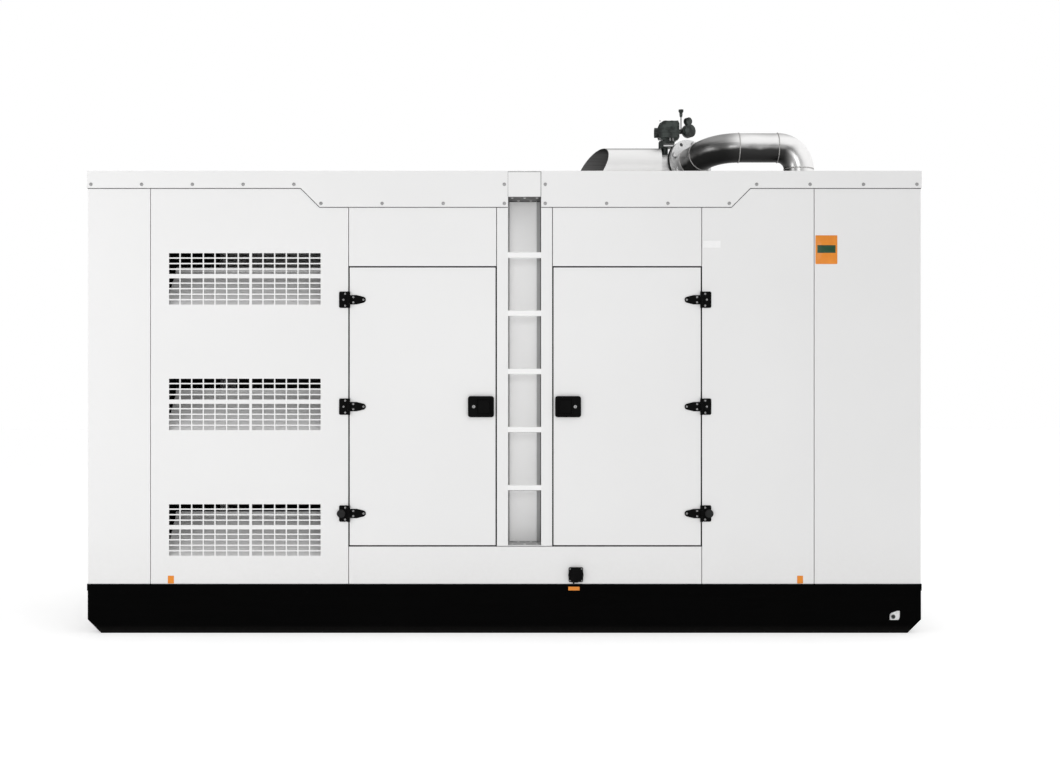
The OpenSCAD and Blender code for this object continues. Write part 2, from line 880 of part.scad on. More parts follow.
module wall_lining() {
    color(foam) {
        front_fill(x_left, x_intake, base_h, z_eave);
        front_fill(x_bay_l, x_strip_l, z_head + seam / 2, z_eave);
        front_fill(x_bay_r, x_plain, z_head + seam / 2, z_eave);
        front_fill(x_bay_l, x_plain, base_h, z_sill - seam / 2);
        front_fill(x_plain, x_corner, base_h, z_eave);
        front_fill(x_corner, x_right, base_h, z_eave);
        back() {
            front_fill(x_left, x_intake, base_h, z_eave);
            front_fill(x_bay_l, x_strip_l, z_head + seam / 2, z_eave);
            front_fill(x_bay_r, x_plain, z_head + seam / 2, z_eave);
            front_fill(x_bay_l, x_plain, base_h, z_sill - seam / 2);
            front_fill(x_strip_l, x_bay_r, z_sill + seam / 2, z_eave);
            front_fill(x_plain, x_corner, base_h, z_eave);
            front_fill(x_corner, x_right, base_h, z_eave);
            door_fill(x_bay_l, x_strip_l);
            door_fill(x_bay_r, x_plain);
        }
        end_place(-1) tray_fill(end_w, wall_h, panel_d);
    }
}

module roof_lining() {
    inset = panel_d + seam;
    color(foam) difference() {
        translate([x_left + inset, y_front + recess_d + seam, z_eave - roof_foam])
            cube([length - 2 * inset, width - recess_d - seam - inset, roof_foam]);
        translate([x_riser, riser_y, z_eave - roof_foam - 1])
            cylinder(h = roof_foam + 2, r = pipe_r + 2 * collar_t);
    }
}

// A baffle starts on the back of the panel under its grille, slopes in and ends in a lip
module baffle() {
    y0 = y_front + sheet;
    top = grille_h * 0.7;
    y1 = y0 + baffle_d;
    profile = [[y0, -baffle_foot], [y0, -baffle_foot / 4], [y1, top], [y1, top + baffle_lip]];
    back_side = [for (i = [3:-1:0]) profile[i] + [sheet, -sheet]];
    translate([x_intake + grille_x - baffle_over, 0, 0]) rotate([90, 0, 90])
        linear_extrude(grille_w + 2 * baffle_over) polygon(concat(profile, back_side));
}

module baffles() {
    for (k = [0:grilles - 1])
        translate([0, 0, base_h + grille_z + k * grille_pitch]) baffle();
}

module intake_baffles() {
    color(white) {
        baffles();
        back() baffles();
    }
}

// Roof in two halves that meet over the ladder

module fascia_outline(run, reach) {
    step = fascia_drop - eave_drop;
    polygon([[0, 0], [reach, 0], [reach, -eave_drop], [run + step, -eave_drop],
        [run, -fascia_drop], [0, -fascia_drop]]);
}

module roof_half(inner, reach, run) {
    translate([0, y_front - sheet, 0]) {
        translate([-inner, 0, z_eave])
            cube([reach + inner + sheet, width + 2 * sheet, roof_t]);
        translate([reach, 0, z_roof - eave_drop])
            cube([sheet, width + 2 * sheet, eave_drop]);
        for (y = [0, width + sheet])
            translate([0, y, z_roof]) upright(sheet) fascia_outline(run, reach + sheet);
    }
}

module roof_left() {
    color(white) translate([x_recess, 0, 0]) mirror([1, 0, 0])
        roof_half(recess_w / 2 - seam / 2, x_recess - x_left, fascia_left);
}

module roof_right() {
    color(white) difference() {
        translate([x_strip_r, 0, 0])
            roof_half(recess_w / 2 - seam / 2, x_right - x_strip_r, fascia_right);
        translate([x_riser, riser_y, z_eave - 1]) cylinder(h = roof_t + 2, r = pipe_r + collar_t / 2);
    }
}

// Socket with a round lid on the sill

module sill_socket() {
    plate_t = 8;
    lid_r = socket_w / 2 + 2;
    color(black) translate([x_bay_r + socket_x, y_front, base_h + socket_z]) {
        translate([0, -plate_t, 0]) upright(plate_t) polygon(round_rect(socket_w, socket_h, plate_t));
        rotate([90, 0, 0]) rotate_extrude()
            polygon([[0, 0], [lid_r - 5, 0], [lid_r - 5, plate_t], [lid_r, plate_t + 3],
                [lid_r, lid_h - 10], [lid_r - 7, lid_h - 4], [0, lid_h]]);
        translate([-2 * catch_w, -plate_t - 3, -socket_h / 2 - catch_w])
            cube([catch_w, plate_t, 2 * catch_w]);
    }
}

// Exhaust line on the roof

module roof_collar() {
    color(steel) translate([x_riser, riser_y, z_roof]) difference() {
        union() {
            cylinder(h = collar_foot_t, r = pipe_r + collar_foot);
            cylinder(h = collar_h, r = pipe_r + collar_t);
        }
        translate([0, 0, -1]) cylinder(h = collar_h + 2, r = pipe_r + fit);
    }
}

// The frame at the start of the turn: +X is world X, and the plane falls to the back
module at_turn() {
    translate([x_run_end, riser_y, z_run]) rotate([-turn_fall, 0, 0]) children();
}

// The frame at the end of the turn: +X is the way the gas flows
module after_turn() {
    at_turn() translate([-turn_r * sin(turn_a), turn_r * (1 - cos(turn_a)), 0])
        rotate([0, 0, 180 - turn_a]) children();
}

// The frame where the second turn ends: +X is the way the gas flows, and +Y is the front
module at_tail() {
    translate([x_tail, y_tail, z_tail]) rotate([0, 0, 180]) children();
}

module along_x(h, r) {
    rotate([0, 90, 0]) cylinder(h = h, r = r);
}

// From the engine's outlet flange up through the roof and along to the first flange;
// each straight pipe reaches a little into the elbows at its ends
module exhaust_pipe() {
    z_low = set_z + manifold_z + elbow_r;
    z_high = z_run - elbow_r;
    color(steel) {
        translate([x_run_start, riser_y, z_low]) rotate([90, 0, 0]) rotate([0, 0, -90])
            rotate_extrude(angle = 90) translate([elbow_r, 0]) circle(bend_r);
        translate([x_riser, riser_y, z_low - 1]) cylinder(h = z_high - z_low + 2, r = pipe_r);
        translate([x_run_start, riser_y, z_high]) rotate([90, 0, 0])
            rotate_extrude(angle = 90) translate([elbow_r, 0]) circle(bend_r);
        translate([x_run_end - 1, riser_y, z_run]) along_x(run_l + 2, pipe_r);
        at_turn() translate([0, turn_r, 0]) rotate([0, 0, 270 - turn_a])
            rotate_extrude(angle = turn_a) translate([turn_r, 0]) circle(bend_r);
        after_turn() translate([-1, 0, 0]) along_x(spool_l + 1, pipe_r);
    }
}

module bolt_holes(h) {
    for (i = [0:bolts - 1])
        rotate([(i + 0.5) * 360 / bolts + bolt_turn, 0, 0]) translate([-1, 0, bolt_circle / 2])
            along_x(h + 2, bolt_hole / 2);
}

// Two drilled flanges with a gasket inside their bolts
module exhaust_flanges() {
    stack = flange_t + gasket_t + back_flange_t;
    color(steel) after_turn() translate([spool_l, 0, 0]) difference() {
        union() {
            along_x(flange_t, flange_d / 2);
            along_x(stack, gasket_r);
            translate([flange_t + gasket_t, 0, 0]) along_x(back_flange_t, flange_d / 2);
        }
        translate([-1, 0, 0]) along_x(stack + 2, pipe_r - pipe_wall);
        bolt_holes(stack);
    }
}

// The second turn, the valve's barrel and the wide tail pipe with its slanted mouth
module exhaust_tail() {
    reach = tail_l + tail_d;
    color(steel) {
        after_turn() translate([flange_run, return_r, 0]) rotate([0, 0, -90])
            rotate_extrude(angle = turn_a) translate([return_r, 0]) circle(bend_r);
        at_tail() {
            along_x(valve_t, pipe_r);
            translate([valve_t, 0, 0]) difference() {
                along_x(reach, tail_r);
                translate([tail_wall, 0, 0]) along_x(reach, tail_r - tail_wall);
                translate([tail_l, 0, 0]) rotate([-mouth_roll, 0, 0]) rotate([0, -mouth_slant, 0])
                    translate([0, -tail_d, -2 * tail_d]) cube([2 * tail_d, 2 * tail_d, 4 * tail_d]);
            }
        }
    }
}

// A foot plate on the roof with a web that cradles the tail pipe
module exhaust_saddles() {
    foot_z = z_roof - z_tail;
    color(steel)
        for (d = [1, 2.6])
            at_tail() translate([valve_t + d * tail_l / 4, 0, 0]) {
                translate([-saddle_l / 2, -saddle_w / 2, foot_z]) cube([saddle_l, saddle_w, saddle_t]);
                difference() {
                    translate([-saddle_t / 2, -saddle_w / 2, foot_z])
                        cube([saddle_t, saddle_w, saddle_rise - tail_r - foot_z]);
                    translate([-saddle_t, 0, 0]) along_x(2 * saddle_t, tail_r + fit);
                }
            }
}

// The frame of the valve's stem: upright, with +X to the right
module at_stem() {
    translate([x_tail - valve_t / 2, y_tail, z_tail]) children();
}

module valve_body() {
    color("#2e3634") at_stem() difference() {
        cylinder(h = actuator_z - arm_gap - arm_t, r = neck_r);
        translate([-valve_t, 0, 0]) along_x(2 * valve_t, pipe_r + fit);
    }
}

// An outline in X and Z, made d deep with its middle at y = 0
module cast_block(d) {
    rotate([90, 0, 0]) linear_extrude(d, center = true) children();
}

// A bracket like a C, open to the right, that carries the drive over the valve's neck
module drive_bracket() {
    low = actuator_z - arm_gap - arm_t;
    left = -neck_r - web_w / 2;
    cast_block(bracket_d) polygon([[left, low], [arm_l, low], [arm_l, low + arm_t],
        [left + web_w, low + arm_t], [left + web_w, actuator_z], [arm_l, actuator_z],
        [arm_l, actuator_z + 2 * arm_t], [left, actuator_z + 2 * arm_t]]);
}

module gear_case() {
    left = gear_x - gear_l / 2;
    right = gear_x + gear_l / 2;
    bevel = gear_h / 6;
    cast_block(gear_d) polygon([[left + bevel / 2, 0], [left, gear_h / 3], [left, gear_h * 0.6],
        [left + bevel / 2, gear_h - bevel], [left + 2 * bevel, gear_h], [right - bevel / 2, gear_h],
        [right, gear_h - bevel], [right, 0]]);
    translate([left - arm_t / 2, -gear_d / 2 - arm_t / 2, parting_z])
        cube([gear_l + arm_t, gear_d + arm_t, arm_t]);
    translate([left + bevel, -bevel, parting_z]) mirror([1, 0, 0]) along_x(cap_l + bevel, cap_r);
}

// Two drums on one arm, turned a little to the right, and the hand lever beside them
module drive_drums() {
    boss_r = arm_t * 1.8;
    side = gear_x + gear_l / 2;
    drum_x = side + drum_r * 1.25;
    rod_x = side + boss_r;
    translate([side - 1, 0, gear_h * 0.43]) {
        along_x(drum_x - side, boss_r);
        translate([rod_x - side + 1, 0, 0]) cylinder(h = gear_h * 0.57 + lever_h - knob_h, r = arm_t * 0.4);
        translate([drum_x - side, 0, 0]) rotate([0, 0, drum_turn]) {
            rotate([90, 0, 0]) cylinder(h = drum_l * 1.5, r = drum_r);
            translate([-arm_t, -arm_t, 0]) cube([2 * arm_t, arm_t, drum_r + small_drum_r]);
            translate([0, 0, drum_r + small_drum_r * 0.9]) rotate([90, 0, 0])
                cylinder(h = drum_l, r = small_drum_r);
        }
    }
    translate([rod_x, 0, gear_h + lever_h - knob_h]) rotate_extrude()
        polygon([[0, 0], [knob_r * 0.5, 0], [knob_r * 0.65, knob_h * 0.35], [knob_r * 0.6, knob_h * 0.5],
            [knob_r, knob_h * 0.75], [knob_r, knob_h], [0, knob_h]]);
}

module valve_actuator() {
    foot = actuator_z + 2 * arm_t;
    color("#2c3531") at_stem() {
        drive_bracket();
        cast_block(bracket_d) polygon([[0, foot - 1], [arm_l, foot - 1],
            [gear_x + gear_l / 2, foot + yoke_h + 1], [gear_x - gear_l * 0.4, foot + yoke_h + 1]]);
        translate([0, 0, foot + yoke_h]) {
            gear_case();
            drive_drums();
        }
    }
}

// Power set behind the doors

module set_bearers() {
    color(black)
        for (s = [-1, 1])
            translate([x_radiator + radiator_t - bearer_l, s * bearer_gap / 2 - bearer_w / 2, base_h])
                cube([bearer_l, bearer_w, bearer_h]);
}

// A profile in Y and Z, carried l along X
module carried(l) {
    rotate([90, 0, 90]) linear_extrude(l) children();
}

// Brackets on both bearers that rise inwards to the height h
module set_feet(x, l, reach, h) {
    inner = (bearer_gap - bearer_w) / 2;
    outer = (bearer_gap + bearer_w) / 2;
    foot_t = bearer_w / 3;
    for (s = [0, 1])
        mirror([0, s, 0]) translate([x, 0, 0]) carried(l) polygon([[inner, 0], [outer, 0], [outer, foot_t],
            [reach + foot_t, h], [reach, h], [reach, h * 0.6]]);
}

module engine_block() {
    case_r = crankcase_w / 2;
    sump_r = block_w / 2 - 20;
    waist = block_w / 2;
    case_z = shaft_z * 0.6;
    translate([x_block, 0, 0]) {
        carried(block_l) polygon([[-case_r, case_z], [case_r, case_z], [case_r, shaft_z],
            [waist, shaft_z + flywheel_l], [waist, block_z], [-waist, block_z],
            [-waist, shaft_z + flywheel_l], [-case_r, shaft_z]]);
        translate([block_l * 0.1, 0, 0]) carried(block_l * 0.8) polygon([[-sump_r * 0.75, case_z / 2],
            [sump_r * 0.75, case_z / 2], [sump_r, case_z + 1], [-sump_r, case_z + 1]]);
    }
    translate([x_flywheel, 0, shaft_z]) along_x(flywheel_l, flywheel_r);
    for (x = [block_l * 0.15, block_l * 0.75])
        set_feet(x_block + x, block_l / 8, case_r - 40, shaft_z * 0.75);
}

// One head for each cylinder, with a rocker cover and a stub to each manifold
module engine_heads() {
    pitch = block_l / cylinders;
    head_l = pitch - head_gap;
    head_w = block_w * 0.8;
    for (i = [0:cylinders - 1])
        translate([x_block + (i + 0.5) * pitch, 0, block_z]) {
            translate([-head_l / 2, -head_w / 2, -1]) cube([head_l, head_w, head_h + 1]);
            linear_extrude(head_h + cover_h) polygon(round_rect(head_l * 0.8, head_w * 0.7, head_gap * 2));
            translate([0, 0, head_h / 2]) rotate([90, 0, 0]) {
                cylinder(h = -riser_y, r = manifold_r * 0.7);
                mirror([0, 0, 1]) cylinder(h = -riser_y, r = inlet_r * 0.6);
            }
        }
}

// The exhaust manifold runs to the flange under the riser, and the inlet manifold lies behind
module engine_manifolds() {
    flange_x = x_run_start - flange_t;
    start = x_block + block_l / cylinders / 4;
    translate([start, riser_y, manifold_z]) along_x(flange_x + 1 - start, manifold_r);
    translate([flange_x, riser_y, manifold_z]) along_x(flange_t, pipe_r + flange_t);
    translate([start, -riser_y, manifold_z]) along_x(block_l * 0.9, inlet_r);
}

// Starter, oil filters and the shaft with its fan
module engine_fittings() {
    side = crankcase_w / 2;
    filter_r = inlet_r * 0.8;
    translate([x_block - 1, -side - manifold_r / 2, shaft_z * 0.8]) along_x(block_l / 5, inlet_r);
    for (i = [0, 1])
        translate([x_block + block_l * (0.5 + 0.11 * i), -side - filter_r * 0.8, shaft_z * 0.6])
            cylinder(h = shaft_z * 0.35, r = filter_r);
    translate([x_block + block_l * 0.45, -side - filter_r * 1.4, shaft_z * 0.9])
        cube([block_l * 0.21, filter_r * 2, filter_r]);
    translate([x_block_end - 1, -side * 0.7, shaft_z * 0.5])
        cube([flywheel_l * 0.4, side * 1.4, block_z - shaft_z * 0.5]);
    translate([x_block_end, 0, radiator_h / 2]) {
        along_x(fan_room - shroud_d / 2, inlet_r);
        translate([fan_room - (shroud_d + blade_w) / 3, 0, 0])
            for (i = [0:blades - 1])
                rotate([i * 360 / blades, 0, 0]) rotate([0, 0, 30])
                    translate([-sheet, -blade_w / 2, inlet_r * 0.7])
                        cube([sheet * 2, blade_w, fan_r - inlet_r * 0.7]);
    }
}

module engine() {
    color("#3c5a48") translate([0, 0, set_z]) {
        engine_block();
        engine_heads();
        engine_manifolds();
        engine_fittings();
    }
}

module alternator() {
    ring = alternator_l / 12;
    end_r = alternator_r * 0.8;
    box_z = shaft_z + alternator_r * 0.85;
    color("#59646b") translate([x_flywheel - alternator_l, 0, set_z]) {
        translate([0, 0, shaft_z]) rotate([0, 90, 0]) rotate_extrude()
            polygon([[0, 0], [end_r * 0.8, 0], [end_r, ring / 2], [end_r, ring * 2],
                [alternator_r, ring * 2.4], [alternator_r, ring * 3],
                [alternator_r * 0.95, ring * 3.2], [alternator_r * 0.95, ring * 8],
                [alternator_r, ring * 8.2], [alternator_r, ring * 10.6], [flywheel_r, ring * 11],
                [flywheel_r, alternator_l], [0, alternator_l]]);
        translate([ring * 2.5, 0, box_z]) carried(terminal_l) polygon([[-terminal_w / 2, 0],
            [terminal_w / 2, 0], [terminal_w / 2, terminal_h * 0.7], [terminal_w * 0.38, terminal_h],
            [-terminal_w * 0.38, terminal_h], [-terminal_w / 2, terminal_h * 0.7]]);
        set_feet(ring * 3, alternator_l / 2, alternator_r * 0.6, shaft_z * 0.75);
    }
}

// The fan draws through a ring in the radiator's shroud
module radiator() {
    inner_w = radiator_w - 2 * radiator_rim;
    inner_h = radiator_h - 2 * radiator_rim;
    color(black) translate([x_radiator, 0, set_z]) {
        difference() {
            translate([0, -radiator_w / 2, 0]) cube([radiator_t, radiator_w, radiator_h]);
            translate([radiator_t * 0.75, -inner_w / 2, radiator_rim]) cube([radiator_t, inner_w, inner_h]);
        }
        translate([-shroud_d, 0, 0]) difference() {
            translate([0, -inner_w / 2, radiator_rim]) cube([shroud_d, inner_w, inner_h]);
            translate([-1, 0, radiator_h / 2]) along_x(shroud_d + 1, fan_r + fan_gap);
        }
    }
}

skid_rails();
skid_ends();
skid_cross_members();
deck_pan();
front_corner_left();
front_intake_panel();
front_header_left();
front_header_right();
front_sill();
front_plain_panel();
front_corner_right();
ladder_recess();
ladder_rungs();
ladder_cap();
door_frames();
door_seals();
end_wall_left();
end_wall_right();
rear_corner_left();
rear_intake_panel();
rear_frame();
rear_plain_panel();
rear_corner_right();
rear_doors();
rear_hinges();
rear_latches();
wall_lining();
roof_lining();
intake_baffles();
roof_left();
roof_right();
hinge_leaves();
hinge_buffers();
door_left();
door_left_lining();
door_left_straps();
door_left_latch();
door_left_paddle();
door_right();
door_right_lining();
door_right_straps();
door_right_latch();
door_right_paddle();
sill_socket();
roof_collar();
exhaust_pipe();
exhaust_flanges();
valve_body();
valve_actuator();
exhaust_tail();
exhaust_saddles();
set_bearers();
engine();
alternator();
radiator();
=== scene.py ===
# %% [markdown]
# # A soundproof generator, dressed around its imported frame
# The real object is a white sheet-metal canopy on a black skid, with two hinged doors, punched
# grilles and a stainless exhaust line on its roof. The solids already stand in the frame, in metres,
# so nothing is fitted here. They could be modelled again in Blender, but then two models would have
# to agree. So this lesson keeps them, gives each a finish, and adds only the small things.

# %% Load the frame
import json

import bmesh
import bpy
import numpy as np
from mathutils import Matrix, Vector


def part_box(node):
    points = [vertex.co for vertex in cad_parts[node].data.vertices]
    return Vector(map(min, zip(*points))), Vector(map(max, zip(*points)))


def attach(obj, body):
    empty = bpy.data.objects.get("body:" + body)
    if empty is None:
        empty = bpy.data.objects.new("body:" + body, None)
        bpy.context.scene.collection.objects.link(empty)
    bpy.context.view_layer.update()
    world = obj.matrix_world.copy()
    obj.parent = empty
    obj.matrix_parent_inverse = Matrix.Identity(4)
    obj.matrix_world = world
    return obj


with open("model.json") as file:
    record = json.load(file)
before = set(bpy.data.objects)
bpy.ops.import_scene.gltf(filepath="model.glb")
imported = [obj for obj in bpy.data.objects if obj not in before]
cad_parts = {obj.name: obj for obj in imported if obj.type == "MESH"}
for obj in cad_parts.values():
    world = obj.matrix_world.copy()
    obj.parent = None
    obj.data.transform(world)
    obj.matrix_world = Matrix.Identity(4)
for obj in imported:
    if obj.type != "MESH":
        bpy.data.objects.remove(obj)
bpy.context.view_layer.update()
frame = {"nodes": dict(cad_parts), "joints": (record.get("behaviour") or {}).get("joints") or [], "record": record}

# %% [markdown]
# ## From a grid of points to a mesh
# Every small piece here is a surface: a grid of points worked out in one go. Adding faces one by one
# would work too, but whole arrays are shorter and faster. One mesh can hold many like copies, such as
# all the screws of a fascia, and coincident points at poles and seams are merged so it is closed.

# %% Grids and skins
def quads(rows, columns, wrap):
    """Corners of a grid's faces: (i, j), (i+1, j), (i+1, j+1), (i, j+1), counted round if it wraps."""
    i, j = np.meshgrid(np.arange(rows - (not wrap[0])), np.arange(columns - (not wrap[1])),
                       indexing="ij")
    down, right = (i + 1) % rows, (j + 1) % columns
    corners = (i * columns + j, down * columns + j, down * columns + right, i * columns + right)
    return np.stack(corners, -1).reshape(-1, 4)


def skin(name, grids, body, finish, wrap=(False, True), sharp=35):
    """One piece from grids of shape (copies, rows, columns, 3). It rides on a body and takes a finish."""
    grids = np.asarray(grids, float)
    grids = grids.reshape((-1,) + grids.shape[-3:])
    copies, rows, columns, _ = grids.shape
    first = (np.arange(copies) * rows * columns)[:, None, None]
    faces = (quads(rows, columns, wrap)[None] + first).reshape(-1, 4)
    mesh = bpy.data.meshes.new(name)
    mesh.from_pydata(grids.reshape(-1, 3).tolist(), [], faces.tolist())
    shell = bmesh.new()
    shell.from_mesh(mesh)
    bmesh.ops.remove_doubles(shell, verts=shell.verts, dist=1e-6)
    bmesh.ops.recalc_face_normals(shell, faces=shell.faces)
    shell.to_mesh(mesh)
    shell.free()
    mesh.polygons.foreach_set("use_smooth", np.ones(len(mesh.polygons), bool))
    mesh.set_sharp_from_angle(angle=np.radians(sharp))
    mesh.materials.append(finish)
    piece = bpy.data.objects.new(name, mesh)
    bpy.context.scene.collection.objects.link(piece)
    if body:
        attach(piece, body)
    print(f"{name}: {copies} copies, {len(mesh.polygons)} faces")
    return piece


# %% [markdown]
# ## Turned forms, and copies of them
# Screws, bolts, rivets and beads are lathe work: a profile of radius and height goes round an axis.
# The modifier called Screw does the same to an edge, but an array formula needs no extra object.
# A hexagon is a lathe form with six sides. Copies stand on a face, their axis along its normal.

# %% Lathe and placing
def turned(profile, sides=20):
    """Profile point (r, h) goes to (r cos t, r sin t, h) for every angle t of a full turn."""
    r, h = np.asarray(profile, float).T[:, :, None]
    t = np.linspace(0, 2 * np.pi, sides, endpoint=False)
    return np.stack(np.broadcast_arrays(r * np.cos(t), r * np.sin(t), h), -1)


def pressed(outline, profile):
    """A plate: profile point (s, h) lays the outline, scaled by s, at height h."""
    scale, height = np.asarray(profile, float).T[:, :, None]
    x, y = np.asarray(outline, float).T
    return np.stack(np.broadcast_arrays(scale * x, scale * y, height), -1)


def rounded(width, height, radius, steps=6):
    """A rectangle with round corners: a quarter circle of that radius about each inner corner."""
    t = np.linspace(0, np.pi / 2, steps)
    turns = t + np.arange(4)[:, None] * np.pi / 2
    signs = np.array([(1, 1), (-1, 1), (-1, -1), (1, -1)])
    corner = signs * (np.array([width, height]) / 2 - radius)
    arcs = corner[:, None, :] + radius * np.stack([np.cos(turns), np.sin(turns)], -1)
    return arcs.reshape(-1, 2)


def stood(form, places, normal, up=(0, 0, 1)):
    """Copies of a form: its axis h turned to the normal, and its foot moved to each place."""
    n = np.asarray(normal, float) / np.linalg.norm(normal)
    across = np.cross(up, n)
    across = across / np.linalg.norm(across)
    basis = np.stack([across, np.cross(n, across), n])
    return np.asarray(places, float)[:, None, None, :] + form @ basis


def row(start, end, count):
    """Evenly spaced places from start to end."""
    return np.linspace(start, end, count)


print("a test screw has", turned([(0, 1), (1, 0)]).shape, "points")

# %% [markdown]
# ## Shader arithmetic in Python
# A finish is a graph of nodes, and a formula is easier to read than a graph. This small class wraps
# a socket, so that `1 - mask * 0.3` adds its Math nodes by itself. Any other node comes from one
# method, which takes the node's type, its settings, and the values or links of its sockets.

# %% Wires
class Wire:
    """An output socket of a shader tree that takes part in arithmetic."""

    def __init__(self, socket):
        self.socket = socket

    def node(self, kind, settings=None, sockets=None, out=0):
        """Adds a node to this wire's tree: settings first, then a value or a link for each socket."""
        tree = self.socket.id_data
        made = tree.nodes.new("ShaderNode" + kind)
        for name, value in (settings or {}).items():
            setattr(made, name, value)
        for name, value in (sockets or {}).items():
            if isinstance(value, Wire):
                tree.links.new(value.socket, made.inputs[name])
            else:
                made.inputs[name].default_value = value
        return Wire(made.outputs[out])

    def math(self, operation, a, b=0.0):
        return self.node("Math", {"operation": operation}, {0: a, 1: b})

    def __add__(self, other):
        return self.math("ADD", self, other)

    def __sub__(self, other):
        return self.math("SUBTRACT", self, other)

    def __rsub__(self, other):
        return self.math("SUBTRACT", other, self)

    def __mul__(self, other):
        return self.math("MULTIPLY", self, other)

    __radd__ = __add__
    __rmul__ = __mul__


def noise(place, scale, detail=3.0, stretch=None):
    """Fractal noise from 0 to 1; stretch scales the coordinates first, one factor for each axis."""
    if stretch:
        place = place.node("Mapping", None, {"Vector": place, "Scale": stretch})
    return place.node("TexNoise", None, {"Vector": place, "Scale": scale, "Detail": detail})


def ramp(value, start, end):
    """0 before start and 1 after end, with a smooth step between; start may be above end."""
    sockets = {"Value": value, "From Min": start, "From Max": end}
    return value.node("MapRange", {"interpolation_type": "SMOOTHSTEP"}, sockets)


def mix(share, a, b):
    """Colour a where share is 0, b where it is 1."""
    sockets = {0: share, 6: a, 7: b}
    return share.node("Mix", {"data_type": "RGBA"}, sockets, out=2)


def bump(height, distance, strength=1.0):
    """A normal from a height of 0 to 1, which stands for that distance in metres."""
    return height.node("Bump", None, {"Strength": strength, "Distance": distance, "Height": height})


def axes(place):
    """The three coordinates of a place, each a wire of its own."""
    return [place.node("SeparateXYZ", None, {0: place}, out=k) for k in range(3)]


def sine(value):
    return value.math("SINE", value)


def grey(level, warm=0.0):
    """A neutral colour; warm moves it from blue towards yellow."""
    return (level * (1 + warm), level, level * (1 - warm), 1)


def new_finish(name, recipe, constants):
    """A Principled material: constants sit on its own sockets, and the recipe links what varies."""
    material = bpy.data.materials.new(name)
    material.use_nodes = True
    tree = material.node_tree
    shader = tree.nodes["Principled BSDF"]
    for socket, value in constants.items():
        shader.inputs[socket].default_value = value
    place = Wire(tree.nodes.new("ShaderNodeTexCoord").outputs["Object"])
    for socket, wire in recipe(place).items():
        tree.links.new(wire.socket, shader.inputs[socket])
    return material


print("wires add nodes such as", Wire.node.__name__)

# %% [markdown]
# ## White canopy paint
# The panels are powder coated: a near-white satin coat with a fine orange peel and a trace of dust
# where the rain splashes up from the base. A flat colour would show neither, so broad noise clouds
# the colour a little, fine noise makes the peel, and the dust fades out above the sill.

# %% Canopy paint
PAINT = {"Specular IOR Level": 0.35}
SPLASH_FULL, SPLASH_END = 0.26, 0.60


def clouded(place, low, high):
    """A white coat that drifts between two levels of grey, in clouds most of a metre wide."""
    return mix(noise(place, 1.3), grey(low, 0.002), grey(high, 0.002))


def white_coat(place):
    return clouded(place, 0.765, 0.805)


def satin(place):
    """Roughness from 0.36 to 0.48, in patches."""
    return 0.36 + noise(place, 14.0) * 0.12


def orange_peel(place):
    """A normal from fine noise about a tenth of a millimetre high."""
    return bump(noise(place, 500.0, 1.0), 0.00012, 0.35)


def canopy_paint(place):
    """The white coat, with dust that is full at the base and ends above the sill."""
    _, _, height = axes(place)
    splash = ramp(height, SPLASH_END, SPLASH_FULL) * noise(place, 60.0)
    return {
        "Base Color": mix(splash * 0.16, white_coat(place), grey(0.55, 0.05)),
        "Roughness": satin(place) + splash * 0.1,
        "Normal": orange_peel(place),
    }


finishes = {"canopy_paint": new_finish("canopy_paint", canopy_paint, PAINT)}
print("canopy paint ready, splashed up to", SPLASH_END)

# %% [markdown]
# ## Paint of the ladder recess
# The recess is a box folded from sheet. Behind its face the coat is lighter than the panels': painted light.
# Painted shade darkens its ceiling, the corners of its back wall and the band beside the strip there, and its
# floor is darker. Dark film could be laid on as pieces, but it is only paint, so masks find it by place.

# %% Recess paint
SHEET, RECESS_DEPTH = 0.003, 0.197
STRIP = (0.1735, 0.1765)
BACK_NEAR, BACK_FULL = 0.030, 0.020
DARK_REACH, DARK_FULL = 0.004, 0.001
CORNER_FULL, BESIDE_EDGE = 0.0005, 0.002
recess_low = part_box("ladder_recess")[0]
cap_low, cap_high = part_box("ladder_cap")
face_y, recess_floor = recess_low.y, recess_low.z + SHEET
recess_back = face_y + RECESS_DEPTH
recess_mid, recess_half = (cap_low.x + cap_high.x) / 2, (cap_high.x - cap_low.x) / 2 - SHEET


def recess_paint(place):
    """Canopy paint on the front face and a lighter coat behind it as painted light, with painted shade on the
    ceiling, in the corners of the back wall and beside its strip, and a darker floor."""
    across, depth, height = axes(place)
    off_middle = place.math("ABSOLUTE", across - recess_mid)
    # Painted light: behind its face the recess takes a lighter coat than the panels'.
    behind_face = ramp(depth, face_y + SHEET, face_y + 2 * SHEET)
    rear = ramp(depth, recess_back - BACK_NEAR, recess_back - BACK_FULL)
    # Painted shade in the corners of the back wall and in the band beside the strip.
    corner = ramp(off_middle, recess_half - DARK_REACH, recess_half - CORNER_FULL)
    beside = ramp(across, STRIP[1], STRIP[1] + BESIDE_EDGE)
    # Painted shade on the ceiling under the cap; the floor is darker too.
    top = ramp(height, cap_low.z - DARK_REACH, cap_low.z - DARK_FULL) * behind_face
    bottom = ramp(height, recess_floor + DARK_REACH, recess_floor + DARK_FULL) * behind_face
    inside = mix(beside * rear, grey(0.97, 0.002), grey(0.60, 0.002))
    inside = mix(corner * rear, inside, grey(0.10, 0.01))
    coat = mix(bottom, mix(behind_face, white_coat(place), inside), grey(0.36))
    return {
        "Base Color": mix(top, coat, grey(0.05)),
        "Roughness": satin(place),
        "Normal": orange_peel(place),
    }


finishes["recess_paint"] = new_finish("recess_paint", recess_paint, PAINT)
print("recess", round(2 * recess_half, 3), "wide and", RECESS_DEPTH, "deep")
